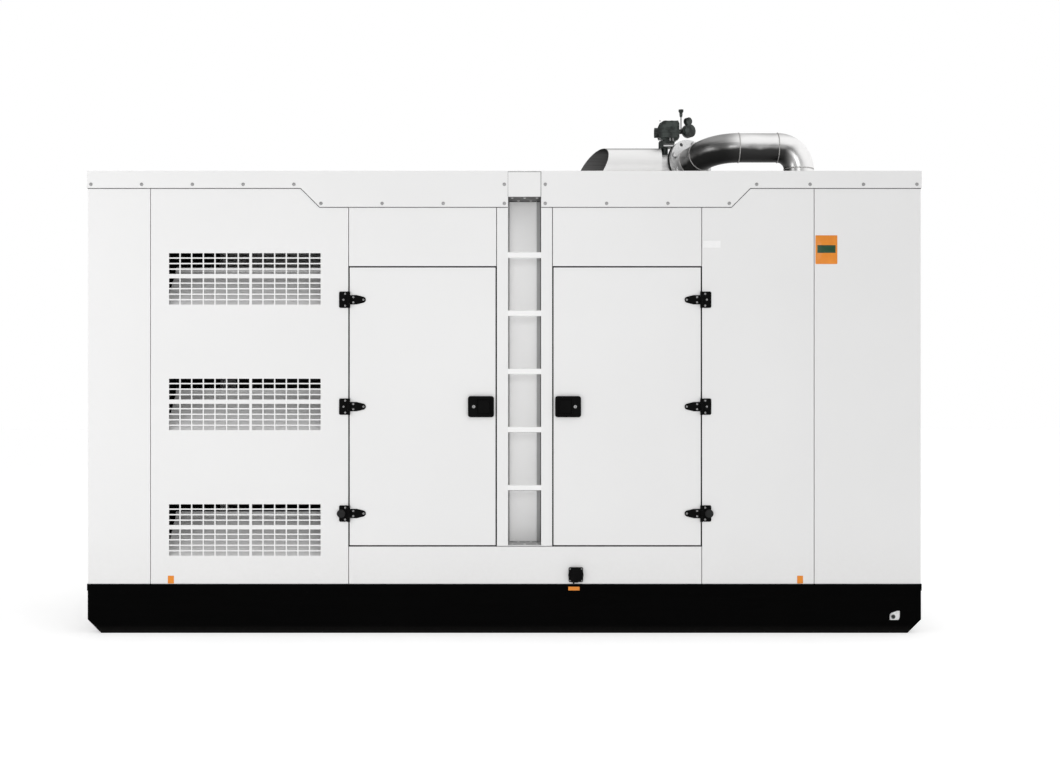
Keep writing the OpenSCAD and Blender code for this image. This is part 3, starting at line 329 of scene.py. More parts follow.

# %% [markdown]
# ## Paint of the rungs
# The rungs cross the recess in a coat lighter than the panels', and a line of painted shade runs along the lower
# edge of each. Each could have a mark of its own, but they are evenly spaced, so the height modulo their pitch
# finds all five edges.

# %% Rung paint
RUNG_HEIGHT, RUNGS = 0.035, 5
RUNG_SHADE_END, RUNG_SHADE_FULL, BELOW_RUNG = 0.0050, 0.0020, 0.001
rung_low, rung_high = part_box("ladder_rungs")
rung_pitch = (rung_high.z - rung_low.z - RUNG_HEIGHT) / (RUNGS - 1)


def rung_paint(place):
    """A coat lighter than the panels', with painted shade under each rung: the height above the lowest, modulo the
    pitch.
    """
    _, _, height = axes(place)
    above = place.math("FLOORED_MODULO", height - (rung_low.z - BELOW_RUNG), rung_pitch)
    # Painted shade: a dark line along the lower edge of each rung.
    grime_and_shade = ramp(above, RUNG_SHADE_END, RUNG_SHADE_FULL)
    return {"Base Color": mix(grime_and_shade, clouded(place, 0.82, 0.88), grey(0.05)), "Roughness": satin(place)}


finishes["rung_paint"] = new_finish("rung_paint", rung_paint, PAINT)
print("rungs", round(rung_pitch, 3), "apart")

# %% [markdown]
# ## Black paint of the skid, the fittings and the rubber
# The skid is deep black enamel, the hinges and latches are satin black castings and the seals are
# rubber. All are near black, so what tells them apart is gloss and grain: soft scuffs along the
# enamel, a fine cast grain on the fittings, and a dull skin on the rubber.

# %% Blacks
def base_paint(place):
    _, _, height = axes(place)
    scuff = noise(place, 5.0, 5.0, stretch=(0.5, 0.5, 9.0))
    dust_and_shade = ramp(height, 0.05, 0.0) * noise(place, 90.0)
    enamel = mix(scuff, grey(0.0004), grey(0.0012))
    return {
        "Base Color": mix(dust_and_shade * 0.5, enamel, grey(0.02, 0.06)),
        "Roughness": 0.24 + scuff * 0.22 + dust_and_shade * 0.2,
        "Normal": bump(noise(place, 320.0, 1.0), 0.00015, 0.3),
    }


def black_fittings(place):
    grain = noise(place, 1400.0, 2.0)
    handled = noise(place, 22.0)
    return {
        "Base Color": mix(handled, grey(0.0016), grey(0.004)),
        "Roughness": 0.34 + handled * 0.2,
        "Normal": bump(grain, 0.00018, 0.5),
    }


def rubber(place):
    skin_marks = noise(place, 260.0, 4.0)
    return {
        "Base Color": mix(skin_marks, grey(0.009), grey(0.019)),
        "Roughness": 0.66 + skin_marks * 0.2,
        "Normal": bump(skin_marks, 0.0003, 0.4),
    }


finishes["base_paint"] = new_finish("base_paint", base_paint, {"Specular IOR Level": 0.02})
finishes["black_fittings"] = new_finish("black_fittings", black_fittings, {"Specular IOR Level": 0.04})
finishes["rubber"] = new_finish("rubber", rubber, {"Specular IOR Level": 0.25})
print("three blacks ready")

# %% [markdown]
# ## Sound lining
# Behind the sheets lies dark foam with an egg-crate face. Real bumps would be thousands of faces that
# show only when a door is open, so the crate is a bump: the sum of one sine wave along each axis,
# which gives the same pattern on walls, doors and roof alike. Fine noise stands for the open cells.

# %% Foam
CRATE_PITCH = 0.05


def foam(place):
    x, y, z = axes(place)
    wave = 2 * np.pi / CRATE_PITCH
    crate = (sine(x * wave) + sine(y * wave) + sine(z * wave)) * 0.16 + 0.5
    cells = noise(place, 700.0, 2.0)
    return {
        "Base Color": mix(crate * 0.7 + cells * 0.3, grey(0.018), grey(0.062, 0.01)),
        "Roughness": 0.84 + cells * 0.14,
        "Normal": bump(crate + cells * 0.12, 0.012, 0.9),
    }


finishes["foam"] = new_finish("foam", foam, {"Specular IOR Level": 0.15})
print("foam ready, pitch", CRATE_PITCH)

# %% [markdown]
# ## Where the exhaust line runs
# The line turns twice over the roof, so its welds, bolts and stains lie in planes that face no axis.
# Their places could be picked off the solids one by one. Here the line is walked instead: a start, a
# radius, an angle and the fall of the plane give the middle and the direction of each joint in turn.

# %% Exhaust joints
PIPE, BEND = 0.08415, 0.08515
ELBOW, RUN, SPOOL, STACK = 0.125, 0.226, 0.100, 0.041
TURN_RADIUS, RETURN_RADIUS = 0.229, 0.120
TURN, FALL = np.radians(62), np.radians(14)
pipe_low, pipe_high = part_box("exhaust_pipe")
riser_top = np.array([pipe_high.x - BEND, pipe_low.y + BEND, pipe_high.z - BEND - ELBOW])
run_start = riser_top + (-ELBOW, 0, ELBOW)
run_end = run_start - (RUN, 0, 0)
level, falling = np.array([-1.0, 0, 0]), np.array([0, np.cos(FALL), -np.sin(FALL)])
plane_up = np.cross(falling, level)
flow = np.cos(TURN) * level + np.sin(TURN) * falling


def turned_by(radius):
    """The way from the start of a turn to its end: radius (sin a along, 1 - cos a aside)."""
    return radius * (np.sin(TURN) * level + (1 - np.cos(TURN)) * falling)


turn_end = run_end + turned_by(TURN_RADIUS)
flange_face = turn_end + SPOOL * flow
valve_start = flange_face + STACK * flow + turned_by(RETURN_RADIUS)
print("flange at", flange_face.round(3), "valve at", valve_start.round(3))

# %% [markdown]
# ## Metals of the exhaust line
# The bends are satin stainless, with painted shade at the falling turn and underneath, and dust with painted shade
# on top.
# The tail is brushed along its length, the flanges are plated and the valve drive is a painted casting.
# Plain colours would look like plastic, so each recipe also varies its roughness and its tiny dents.

# %% Metals
TAIL, TAIL_WALL = 0.12225, 0.002
TAIL_NECK, FLANGE = 0.050, 0.020
TAIL_START = valve_start[0] - TAIL_NECK


def along(place, start, direction):
    """How far a place lies from the start in a direction: their difference times the direction."""
    x, y, z = axes(place)
    return x * direction[0] + y * direction[1] + z * direction[2] - float(np.dot(start, direction))


def pipe_steel(place):
    """Clean steel, darkened past the run by painted shade, with painted shade underneath and dust with painted
    shade along the top.
    """
    x, _, _ = axes(place)
    wave = noise(place, 11.0, 2.0)
    rub = noise(place, 40.0, 4.0, stretch=(0.35, 1.0, 1.0))
    rise = along(place, run_end, plane_up) + wave * 0.03 - 0.015
    # Painted shade: the underside from the riser on is darkened nearly to black.
    painted_shade_below = ramp(rise, -0.004, -0.045) * ramp(x, run_start[0] + ELBOW, run_start[0] + 0.2 * ELBOW)
    # Dust and painted shade: the top is darkened.
    dust_and_shade = ramp(rise, 0.25 * PIPE, 1.0 * PIPE)
    # Painted shade: the falling turn past the run is darkened.
    heat_tint_and_shade = ramp(x, run_end[0] + 0.2 * ELBOW, run_end[0] - 0.8 * ELBOW)
    dull = mix(heat_tint_and_shade, grey(0.86, 0.006), grey(0.26, 0.008))
    bright = mix(heat_tint_and_shade, grey(0.96, 0.006), grey(0.38, 0.008))
    top_darkened = mix(dust_and_shade * 0.8, mix(rub, dull, bright), grey(0.14, 0.02))
    return {
        "Base Color": mix(painted_shade_below * 0.95, top_darkened, grey(0.012, 0.02)),
        "Roughness": 0.27 + rub * 0.14,
        "Normal": bump(wave, 0.004, 0.16),
    }


def tail_steel(place):
    """Brushed along its length, sooty inside, with dust and painted shade along the top."""
    x, y, z = axes(place)
    brush = noise(place, 5.0, 6.0, stretch=(0.6, 60.0, 60.0))
    off_y, off_z = y - float(valve_start[1]), z - float(valve_start[2])
    wall, inner = TAIL - 0.4 * TAIL_WALL, TAIL - TAIL_WALL
    bore = ramp(off_y * off_y + off_z * off_z, wall ** 2, inner ** 2)
    bore = bore * ramp(x, TAIL_START - 0.001, TAIL_START - 0.002)
    soot = bore * (0.72 + brush * 0.25)
    # Dust and painted shade: the top edge is darkened.
    dust_and_shade = ramp(off_z, 0.80 * TAIL, 0.99 * TAIL)
    clean = mix(brush, grey(0.88, 0.005), grey(0.97, 0.005))
    return {
        "Base Color": mix(soot, mix(dust_and_shade * 0.9, clean, grey(0.10, 0.02)), grey(0.016, 0.03)),
        "Metallic": 1 - soot,
        "Roughness": 0.46 + brush * 0.2 + soot * 0.3,
        "Normal": bump(brush, 0.0004, 0.25),
    }


def zinc(place):
    """Plating: crystals about a centimetre wide, each darker in its middle."""
    spangle = place.node("TexVoronoi", None, {"Vector": place, "Scale": 90.0})
    return {
        "Base Color": mix(spangle, grey(0.62), grey(0.82)),
        "Roughness": 0.36 + spangle * 0.2,
        "Normal": bump(noise(place, 300.0), 0.0003, 0.3),
    }


def flange_pair(place):
    """Plated in front of the gasket, black from there on."""
    depth = along(place, flange_face, flow)
    black = ramp(depth, FLANGE - 0.0002, FLANGE + 0.0004)
    plated = zinc(place)
    return {
        "Base Color": mix(black, plated["Base Color"], grey(0.006)),
        "Metallic": 1 - black,
        "Roughness": plated["Roughness"],
        "Normal": plated["Normal"],
    }


def bead_steel(place):
    heat_tint_and_shade = noise(place, 160.0)
    return {"Base Color": mix(heat_tint_and_shade, grey(0.30, 0.04), grey(0.75, 0.01)), "Roughness": 0.28 + heat_tint_and_shade * 0.25}


def screw_steel(place):
    rub = noise(place, 220.0)
    return {"Base Color": mix(rub, grey(0.30), grey(0.50)), "Roughness": 0.42 + rub * 0.2}


def casting(place):
    skin_marks = noise(place, 240.0, 4.0)
    patch = noise(place, 26.0)
    worn = mix(ramp(patch, 0.40, 0.66), (0.006, 0.010, 0.008, 1), (0.050, 0.062, 0.056, 1))
    return {
        "Base Color": worn,
        "Roughness": 0.30 + skin_marks * 0.2,
        "Normal": bump(skin_marks, 0.0008, 0.6),
    }


METAL = {"Metallic": 1.0}
finishes["stainless"] = new_finish("stainless", pipe_steel, METAL)
finishes["brushed_tail"] = new_finish("brushed_tail", tail_steel, {})
finishes["zinc"] = new_finish("zinc", zinc, METAL)
finishes["flange_pair"] = new_finish("flange_pair", flange_pair, {})
finishes["bead_steel"] = new_finish("bead_steel", bead_steel, METAL)
finishes["screw_steel"] = new_finish("screw_steel", screw_steel, METAL)
finishes["casting"] = new_finish("casting", casting, {"Specular IOR Level": 0.4})
print("metals ready")

# %% [markdown]
# ## Paint of the power set
# The set only shows when a door is open. Its paint is satin with a haze of oily dust that gathers in
# patches, and the radiator's core is rows of thin fins, which a sine wave along its width can give.

# %% Machine paints
def machine_paint(low, high):
    def recipe(place):
        grime_and_shade = noise(place, 7.0, 5.0)
        film = ramp(grime_and_shade, 0.45, 0.75)
        return {
            "Base Color": mix(film * 0.45, mix(grime_and_shade, low, high), grey(0.03, 0.1)),
            "Roughness": 0.36 + film * 0.3,
            "Normal": bump(noise(place, 180.0), 0.0006, 0.35),
        }
    return recipe


FIN_PITCH = 0.006


def radiator_black(place):
    _, y, z = axes(place)
    fins = sine(y * (2 * np.pi / FIN_PITCH)) * 0.5 + 0.5
    tubes = ramp(sine(z * (2 * np.pi / (8 * FIN_PITCH))), 0.75, 0.95)
    return {
        "Base Color": mix(tubes, mix(fins, grey(0.004), grey(0.02)), grey(0.03)),
        "Roughness": 0.5 + fins * 0.2,
        "Normal": bump(fins * (1 - tubes), 0.002, 0.6),
    }


green = machine_paint((0.045, 0.10, 0.065, 1), (0.065, 0.13, 0.085, 1))
slate = machine_paint((0.14, 0.17, 0.19, 1), (0.18, 0.21, 0.23, 1))
finishes["engine_paint"] = new_finish("engine_paint", green, {"Specular IOR Level": 0.4})
finishes["alternator_paint"] = new_finish("alternator_paint", slate, {"Specular IOR Level": 0.4})
finishes["radiator_black"] = new_finish("radiator_black", radiator_black, {"Specular IOR Level": 0.3})
print("machine paints ready")

# %% [markdown]
# ## Coloured plates
# A few small plates and stickers are fixed to the canopy: orange, white and green enamel. They stay
# bare. A bare plate still fades and catches light unevenly, so its colour drifts a little.

# %% Enamels
def enamel(low, high):
    def recipe(place):
        fade = noise(place, 45.0)
        return {"Base Color": mix(fade, low, high), "Roughness": 0.3 + fade * 0.15}
    return recipe


orange = new_finish("orange_enamel", enamel((0.70, 0.20, 0.006, 1), (0.80, 0.27, 0.015, 1)), {})
green_enamel = new_finish("green_enamel", enamel((0.002, 0.04, 0.012, 1), (0.004, 0.065, 0.022, 1)), {})
white_film = new_finish("white_film", enamel(grey(0.82), grey(0.9)), {})
print("enamels ready")

# %% [markdown]
# ## Dark edges of the door frames
# Round each door runs a gap, and behind it the frame is painted black outside its seal: painted shade for the gap.
# A second solid would do, but it is only paint, so a mask tells the outer band by its coordinates.

# %% Frame finish
SEAL_INSET = 0.004
doors = [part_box("door_left"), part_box("door_right")]


def between(value, low, high):
    """1 where low < value < high, with edges a millimetre soft."""
    return ramp(value, low - 0.0005, low + 0.0005) * ramp(value, high + 0.0005, high - 0.0005)


def frame_paint(place):
    x, _, z = axes(place)
    inside = [between(x, low.x + SEAL_INSET, high.x - SEAL_INSET)
              * between(z, low.z + SEAL_INSET, high.z - SEAL_INSET) for low, high in doors]
    gap_shade_mottle = noise(place, 80.0)
    # Painted shade: black outside each seal, where the gap lies in shade.
    gap_shade = mix(gap_shade_mottle, grey(0.004), grey(0.012))
    return {"Base Color": mix(inside[0] + inside[1], gap_shade, white_coat(place)),
            "Roughness": 0.4 + gap_shade_mottle * 0.2}


finishes["frame_paint"] = new_finish("frame_paint", frame_paint, {"Specular IOR Level": 0.1})
print("frame finish ready for", len(doors), "doors")

# %% [markdown]
# ## Each solid gets its finish
# The record names a material slot for every node, so one loop dresses them all. Five nodes share a
# slot with plainer pieces but show stains, brushing, painted light and painted shade of their own, so they get
# another finish.

# %% Dress the solids
finish_of_node = {part["node"]: part["material_slot"] for part in frame["record"]["subparts"]}
finish_of_node["exhaust_tail"] = "brushed_tail"
finish_of_node["exhaust_flanges"] = "flange_pair"
finish_of_node["ladder_recess"] = "recess_paint"
finish_of_node["ladder_rungs"] = "rung_paint"
finish_of_node["door_frames"] = "frame_paint"
for name, solid in frame["nodes"].items():
    solid.data.materials.clear()
    solid.data.materials.append(finishes[finish_of_node[name]])
print("dressed", len(finish_of_node), "solids in", len(set(finish_of_node.values())), "finishes")

# %% [markdown]
# ## Screws of the roof fascias
# The fascias are held by rows of domed screws close to their lower edges. A cylinder would read as a
# peg, so the head is a lathe form: a low dome with a socket in its middle, on a thin washer.

# %% Fascia screws
SCREW = 0.0075
DOME = [(0, 0.0026), (0.45, 0.0026), (0.45, 0.0048), (0.7, 0.0044), (0.9, 0.0030),
        (1.0, 0.0012), (1.25, 0.0011), (1.25, 0.0), (0, 0.0)]
dome_screw = turned([(share * SCREW, height) for share, height in DOME])

roof_low, roof_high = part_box("roof_left")
roof_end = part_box("roof_right")[1].x
half_width = roof_high.y
SHALLOW_DROP, DEEP_DROP = 0.073, 0.176
END_REACH, END_SCREWS = 0.75, 4
shallow, deep = roof_high.z - SHALLOW_DROP, roof_high.z - DEEP_DROP
# First x, last x, number of screws and height of each row
fascia_rows = [(-2.232, -1.136, 5, shallow), (-0.990, 0.0, 4, deep), (0.221, 1.214, 4, deep),
               (1.362, 2.227, 4, shallow), (0.0, 0.221, 2, shallow)]
spots = np.concatenate([np.stack([row(a, b, n), np.zeros(n), np.full(n, z)], -1)
                        for a, b, n, z in fascia_rows])
front_spots = spots + (0, -half_width, 0)
back_spots = spots + (0, half_width, 0)
end_spots = np.stack([np.zeros(END_SCREWS), row(-END_REACH, END_REACH, END_SCREWS),
                      np.full(END_SCREWS, shallow)], -1)
heads = np.concatenate([
    stood(dome_screw, front_spots, (0, -1, 0)),
    stood(dome_screw, back_spots, (0, 1, 0)),
    stood(dome_screw, end_spots + (roof_low.x, 0, 0), (-1, 0, 0)),
    stood(dome_screw, end_spots + (roof_end, 0, 0), (1, 0, 0))])
skin("fascia_screws", heads, "canopy", finishes["screw_steel"])

# %% [markdown]
# ## Rivets in the ladder recess
# The recess is a folded box, riveted through its ceiling and its floor. The rivets are pale domes,
# three in front and two behind, so the same lathe form serves with a plain round head.

# %% Ladder rivets
RIVET = 0.008
rivet = turned([(0, 0.0036), (RIVET * 0.5, 0.0031), (RIVET * 0.85, 0.0018), (RIVET, 0.0), (0, 0.0)])
FRONT_RIVETS, FRONT_HALF, FRONT_DEPTH = 3, 0.068, 0.05
BACK_RIVETS, BACK_HALF, BACK_DEPTH = 2, 0.034, 0.165


def rivet_line(count, half, depth):
    """Places at height 0 across the recess, from -half to half of its middle, at a depth."""
    x, y, z = np.broadcast_arrays(recess_mid + row(-half, half, count), face_y + depth, 0.0)
    return np.stack([x, y, z], -1)


lines = np.concatenate([rivet_line(FRONT_RIVETS, FRONT_HALF, FRONT_DEPTH),
                        rivet_line(BACK_RIVETS, BACK_HALF, BACK_DEPTH)])
rivets = np.concatenate([
    stood(rivet, lines + (0, 0, cap_low.z), (0, 0, -1), up=(0, 1, 0)),
    stood(rivet, lines + (0, 0, recess_floor), (0, 0, 1), up=(0, 1, 0))])
skin("ladder_rivets", rivets, "canopy", finishes["zinc"])

# %% [markdown]
# ## Hinge screws
# Each black hinge is held by six pale screws, three in the leaf and three in the strap. The lowest
# hinges have a rubber buffer in place of the leaf's middle screw. Leaf screws stay with the canopy
# and strap screws swing with their door, so they are separate pieces.

# %% Hinge screws
HINGE_SCREW, LEAF_FACE, LEAF_HEIGHT = 0.0044, 0.004, 0.088
HINGES, BUFFER_SPOT = 3, 2
hinge_screw = turned([(share * HINGE_SCREW, height) for share, height in DOME], 16)
hinge_low, hinge_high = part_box("hinge_leaves")
hinge_rise = row(hinge_low.z + LEAF_HEIGHT / 2, hinge_high.z - LEAF_HEIGHT / 2, HINGES)
joints = {joint["name"]: joint for joint in frame["joints"]}
leaf_marks = np.array([(-0.020, 0.032), (-0.020, -0.032), (-0.029, 0.0)])
strap_marks = np.array([(0.0235, 0.014), (0.0235, -0.014), (0.079, 0.0)])


def hinge_spots(axis_x, side, marks, face):
    """Each mark (x, z) beside the axis, mirrored by side, at every hinge height."""
    x = axis_x + side * marks[:, 0]
    z = hinge_rise[:, None] + marks[:, 1]
    x, y, z = np.broadcast_arrays(x[None, :], face, z)
    return np.stack([x, y, z], -1).reshape(-1, 3)


def axis_of(name):
    return np.array(joints[name]["pos_m"], float)


left_axis, right_axis = axis_of("left_door_swing"), axis_of("right_door_swing")
front_face = face_y - LEAF_FACE
no_buffer = np.arange(HINGES * len(leaf_marks)) != BUFFER_SPOT
leaf_spots = np.concatenate([hinge_spots(left_axis[0], 1, leaf_marks, front_face)[no_buffer],
                             hinge_spots(right_axis[0], -1, leaf_marks, front_face)[no_buffer]])
skin("leaf_screws", stood(hinge_screw, leaf_spots, (0, -1, 0)), "canopy",
     finishes["screw_steel"])
for side, axis, door in ((1, left_axis, "left_door"), (-1, right_axis, "right_door")):
    strap_spots = hinge_spots(axis[0], side, strap_marks, front_face)
    skin(door + "_strap_screws", stood(hinge_screw, strap_spots, (0, -1, 0)), door,
         finishes["screw_steel"])
marks = np.concatenate([leaf_marks, strap_marks])
rear_spots = np.concatenate([hinge_spots(left_axis[0], 1, marks, -front_face),
                             hinge_spots(right_axis[0], -1, marks, -front_face)])
skin("rear_hinge_screws", stood(hinge_screw, rear_spots, (0, 1, 0)), "canopy",
     finishes["screw_steel"])

# %% [markdown]
# ## Keys of the latches
# Each latch has a bright key cylinder in its raised block. A flat disc would do from afar, but the
# slot is what makes it a key, so the lathe form has a sunk middle, and a dark bar fills the slot.

# %% Latch keys
KEY, KEY_SHIFT = 0.0085, 0.0385
key_face = turned([(0, 0.0006), (KEY * 0.55, 0.0006), (KEY * 0.62, 0.0016), (KEY * 0.9, 0.0016),
                   (KEY, 0.0008), (KEY, 0.0), (0, 0.0)], 28)
key_slot = pressed(rounded(0.0024, 0.009, 0.0011), [(0, 0.0012), (1, 0.0012), (1, 0.0), (0, 0.0)])
for side, door in ((-1, "left"), (1, "right")):
    latch_low, latch_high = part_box("door_" + door + "_latch")
    middle = [(latch_low.x + latch_high.x) / 2 + side * KEY_SHIFT, latch_low.y,
              (latch_low.z + latch_high.z) / 2]
    skin(door + "_key", stood(key_face, [middle], (0, -1, 0)), door + "_door",
         finishes["screw_steel"])
    skin(door + "_key_slot", stood(key_slot, [middle], (0, -1, 0)), door + "_door",
         finishes["rubber"])

# %% [markdown]
# ## Socket screws
# The plate of the socket on the sill has a pale screw in each corner. They are the hinge screws once
# more, a little smaller.

# %% Socket screws
socket_low, socket_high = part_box("sill_socket")
PLATE_FACE, PLATE_HALF, PLATE_DROP, SMALLER = 0.008, 0.031, 0.041, 0.8
socket_mid_x = (socket_low.x + socket_high.x) / 2
socket_mid_z = socket_high.z - PLATE_DROP
corner_signs = np.array([(1, 1), (-1, 1), (-1, -1), (1, -1)])
corner_spots = np.concatenate([PLATE_HALF * corner_signs + (socket_mid_x, socket_mid_z),
                               np.full((4, 1), face_y - PLATE_FACE)], -1)[:, [0, 2, 1]]
skin("socket_screws", stood(hinge_screw * SMALLER, corner_spots, (0, -1, 0)), "canopy",
     finishes["screw_steel"])

# %% [markdown]
# ## Plates and the folded strip
# A few bare plates are stuck to the canopy, and a folded strip stiffens the back of the recess. All
# are flat pieces with rounded outlines, so one formula makes them: an outline, laid at several heights.

# %% Plates
def plate(name, x, z, y, thick, finish, radius=0.002):
    """A slab on the front from x[0] to x[1] and z[0] to z[1], standing out by thick from the face at y."""
    outline = rounded(x[1] - x[0], z[1] - z[0], radius)
    edge = [(0, thick), (0.985, thick), (1, thick * 0.6), (1, 0), (0, 0)]
    middle = [(sum(x) / 2, y, sum(z) / 2)]
    return skin(name, stood(pressed(outline, edge), middle, (0, -1, 0)), "canopy", finish)


lip_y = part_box("deck_pan")[0].y
STICKER, LIP_PLATE, PLATE, STRIP_OUT = 0.0008, 0.001, 0.0015, 0.015
BAND, BAND_SINK = 0.0006, 0.0001
SIGN_ROUND, STRIP_ROUND = 0.004, 0.0012
STICKER_Z = (0.267, 0.309)
band_y = face_y - PLATE + BAND_SINK
plate("base_plate", (0.345, 0.406), (0.230, 0.250), lip_y, LIP_PLATE, orange)
plate("left_label", (-1.817, -1.784), STICKER_Z, face_y, STICKER, orange)
plate("right_label", (1.581, 1.613), STICKER_Z, face_y, STICKER, orange)
plate("white_plate", (1.073, 1.167), (2.080, 2.118), face_y, PLATE, white_film)
plate("sign_plate", (1.680, 1.798), (1.992, 2.147), face_y, PLATE, orange, SIGN_ROUND)
plate("sign_band", (1.690, 1.788), (2.052, 2.094), band_y, BAND, green_enamel)
plate("recess_strip", STRIP, (recess_floor, cap_low.z), recess_back, STRIP_OUT,
      finishes["canopy_paint"], STRIP_ROUND)

# %% [markdown]
# ## Dark strips for the shadow lines
# A dark strip under each fascia and round the cap of the ladder stands in for the shadow line there: painted
# shade. It could be a curve with a bevel, but a profile carried along a path keeps the mitred corners sharp.

# %% Shade strips along a path
def shade_strip(path, wide, y, out):
    """A strip below a path of (x, z): each corner is mitred, and both ends close on their middles."""
    path = np.asarray(path, float)
    step = np.diff(path, axis=0)
    step = step / np.linalg.norm(step, axis=1, keepdims=True)
    normal = np.stack([step[:, 1], -step[:, 0]], -1)
    before, after = np.concatenate([normal[:1], normal]), np.concatenate([normal, normal[-1:]])
    mitre = (before + after) / (1 + np.sum(before * after, axis=1, keepdims=True))
    lower = path + wide * mitre
    seat = np.full((len(path), 1), y)
    proud = seat + out
    ring = [np.concatenate([p[:, :1], d, p[:, 1:]], -1)
            for p, d in ((path, seat), (path, proud), (lower, proud), (lower, seat))]
    grid = np.stack(ring, 1)
    ends = [np.broadcast_to(grid[k].mean(0), grid[k].shape)[None] for k in (0, -1)]
    return np.concatenate([ends[0], grid, ends[1]])


EAVE_DROP, LEFT_RUN, RIGHT_RUN, WALL_END = 0.093, 1.016, 1.027, 2.250
SHADE_STRIP_WIDE, SHADE_STRIP_OUT, CAP_SHADE_OUT = 0.0034, 0.0016, 0.0004
deep_edge, eave_edge = roof_low.z, roof_high.z - EAVE_DROP
slant = eave_edge - deep_edge
cap_left, cap_right = cap_low.x, cap_high.x
left_edge = [(-WALL_END, eave_edge), (cap_left - LEFT_RUN - slant, eave_edge),
             (cap_left - LEFT_RUN, deep_edge), (cap_left, deep_edge)]
right_edge = [(cap_right, deep_edge), (cap_right + RIGHT_RUN, deep_edge),
              (cap_right + RIGHT_RUN + slant, eave_edge), (WALL_END, eave_edge)]
# Painted shade: dark strips for the shadow lines under the fascias.
shade_strips = [shade_strip(edge, SHADE_STRIP_WIDE, side * face_y, side * -SHADE_STRIP_OUT)
         for edge in (left_edge, right_edge) for side in (1, -1)]
skin("fascia_shade_strips", shade_strips, "canopy", finishes["rubber"], sharp=20)
# Each line round the cap, and how wide its shade strip is
cap_lines = [([(cap_left, cap_low.z), (cap_left, cap_high.z)], 0.0012),
             ([(cap_right, cap_high.z), (cap_right, cap_low.z)], 0.0026),
             ([(cap_left, cap_high.z), (cap_right, cap_high.z)], 0.0022)]
# Painted shade: dark strips for the shadow lines round the cap.
skin("cap_shade_strips", [shade_strip(line, wide, cap_low.y, -CAP_SHADE_OUT) for line, wide in cap_lines],
     "canopy", finishes["rubber"], sharp=20)

# %% [markdown]
# ## Dark rings in the door gaps
# A thin dark ring lines the gap round each door, on the canopy's side: painted shade for the gap. A solidified
# plane would do, but the ring has four corners, so four outlines of the door, each grown a little, give it.

# %% Dark rings in the door gaps
DOOR_GAP, GAP_SHADE_THICK, GAP_SHADE_BACK, FRAME_ROOM = 0.008, 0.0012, 0.0015, 0.0003
gap_shade_front, gap_shade_rear = face_y + GAP_SHADE_BACK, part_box("door_frames")[0].y - FRAME_ROOM


def gap_shade_ring(low, high):
    """A ring round a door: the door's outline grown by the gap, and by the gap less a thickness."""
    rows = []
    for grow, y in ((DOOR_GAP, gap_shade_front), (DOOR_GAP - GAP_SHADE_THICK, gap_shade_front),
                    (DOOR_GAP - GAP_SHADE_THICK, gap_shade_rear), (DOOR_GAP, gap_shade_rear)):
        x0, x1, z0, z1 = low.x - grow, high.x + grow, low.z - grow, high.z + grow
        rows.append([(x0, y, z0), (x1, y, z0), (x1, y, z1), (x0, y, z1)])
    return np.array(rows)


# Painted shade: a dark ring in the gap round each door.
skin("door_gap_shade", [gap_shade_ring(low, high) for low, high in doors], "canopy", finishes["rubber"],
     wrap=(True, True), sharp=20)

# %% [markdown]
# ## Filter mats
# Over the baffles of each grille at the back lies a mat of foam, which keeps dust out and hides what is
# behind. A plane would show its bare edge, so the mat is a pressed slab with a rounded outline.

# %% Filter mats
GRILLES, GRILLE_PITCH = 3, 0.679
MAT_X, MAT_RISE, MAT_DROP, MAT_THICK, MAT_ROUND = (-1.815, -0.985), 0.085, -0.015, 0.011, 0.004
baffle_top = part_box("intake_baffles")[1].z
mat_low = baffle_top + MAT_DROP - GRILLE_PITCH * np.arange(GRILLES)
mat_outline = rounded(MAT_X[1] - MAT_X[0], MAT_RISE - MAT_DROP, MAT_ROUND)
mat = pressed(mat_outline, [(0, MAT_THICK), (0.99, MAT_THICK), (1, 0.7 * MAT_THICK), (1, 0), (0, 0)])
mat_spots = [(sum(MAT_X) / 2, -face_y - SHEET, low + (MAT_RISE - MAT_DROP) / 2) for low in mat_low]
skin("filter_mats", stood(mat, mat_spots, (0, -1, 0)), "canopy", finishes["foam"])

# %% [markdown]
# ## Earth lug
# The plated lug for the earth cable is cut from plate and bolted to the base, so it has an outline of
# its own, and a hexagon nut on a washer.

# %% Earth lug
LUG_X, LUG_Z, LUG_THICK, LUG_BEVEL = 2.107, 0.095, 0.006, 0.001
NUT, NUT_HEIGHT, WASHER, WASHER_THICK, NUT_SINK = 0.0105, 0.008, 0.0125, 0.0018, 0.0001
NUT_X, NUT_Z = -0.009, -0.006
lug_outline = 0.001 * np.array([(-27, -24), (20, -24), (27, -8), (27, 25), (12, 25), (-18, 14), (-27, 4)])
lug_edge = [(0, LUG_THICK), (0.97, LUG_THICK), (1, LUG_THICK - LUG_BEVEL), (1, 0), (0, 0)]
lug = pressed(lug_outline, lug_edge)
skin("earth_lug", stood(lug, [(LUG_X, face_y, LUG_Z)], (0, -1, 0)), "canopy", finishes["zinc"])
hexagon = [(0, 1.0), (0.86, 1.0), (1.0, 0.86), (1.0, 0.0), (0, 0.0)]
nut = turned([(share * NUT, NUT_HEIGHT * height) for share, height in hexagon], 6)
washer = turned([(0, WASHER_THICK), (WASHER, WASHER_THICK), (WASHER, 0), (0, 0)], 24)
lug_spots = np.array([(LUG_X + NUT_X, face_y - LUG_THICK, LUG_Z + NUT_Z)])
skin("lug_washer", stood(washer, lug_spots, (0, -1, 0)), "canopy", finishes["screw_steel"])
skin("lug_nut", stood(nut, lug_spots + (0, NUT_SINK - WASHER_THICK, 0), (0, -1, 0)), "canopy",
     finishes["casting"])

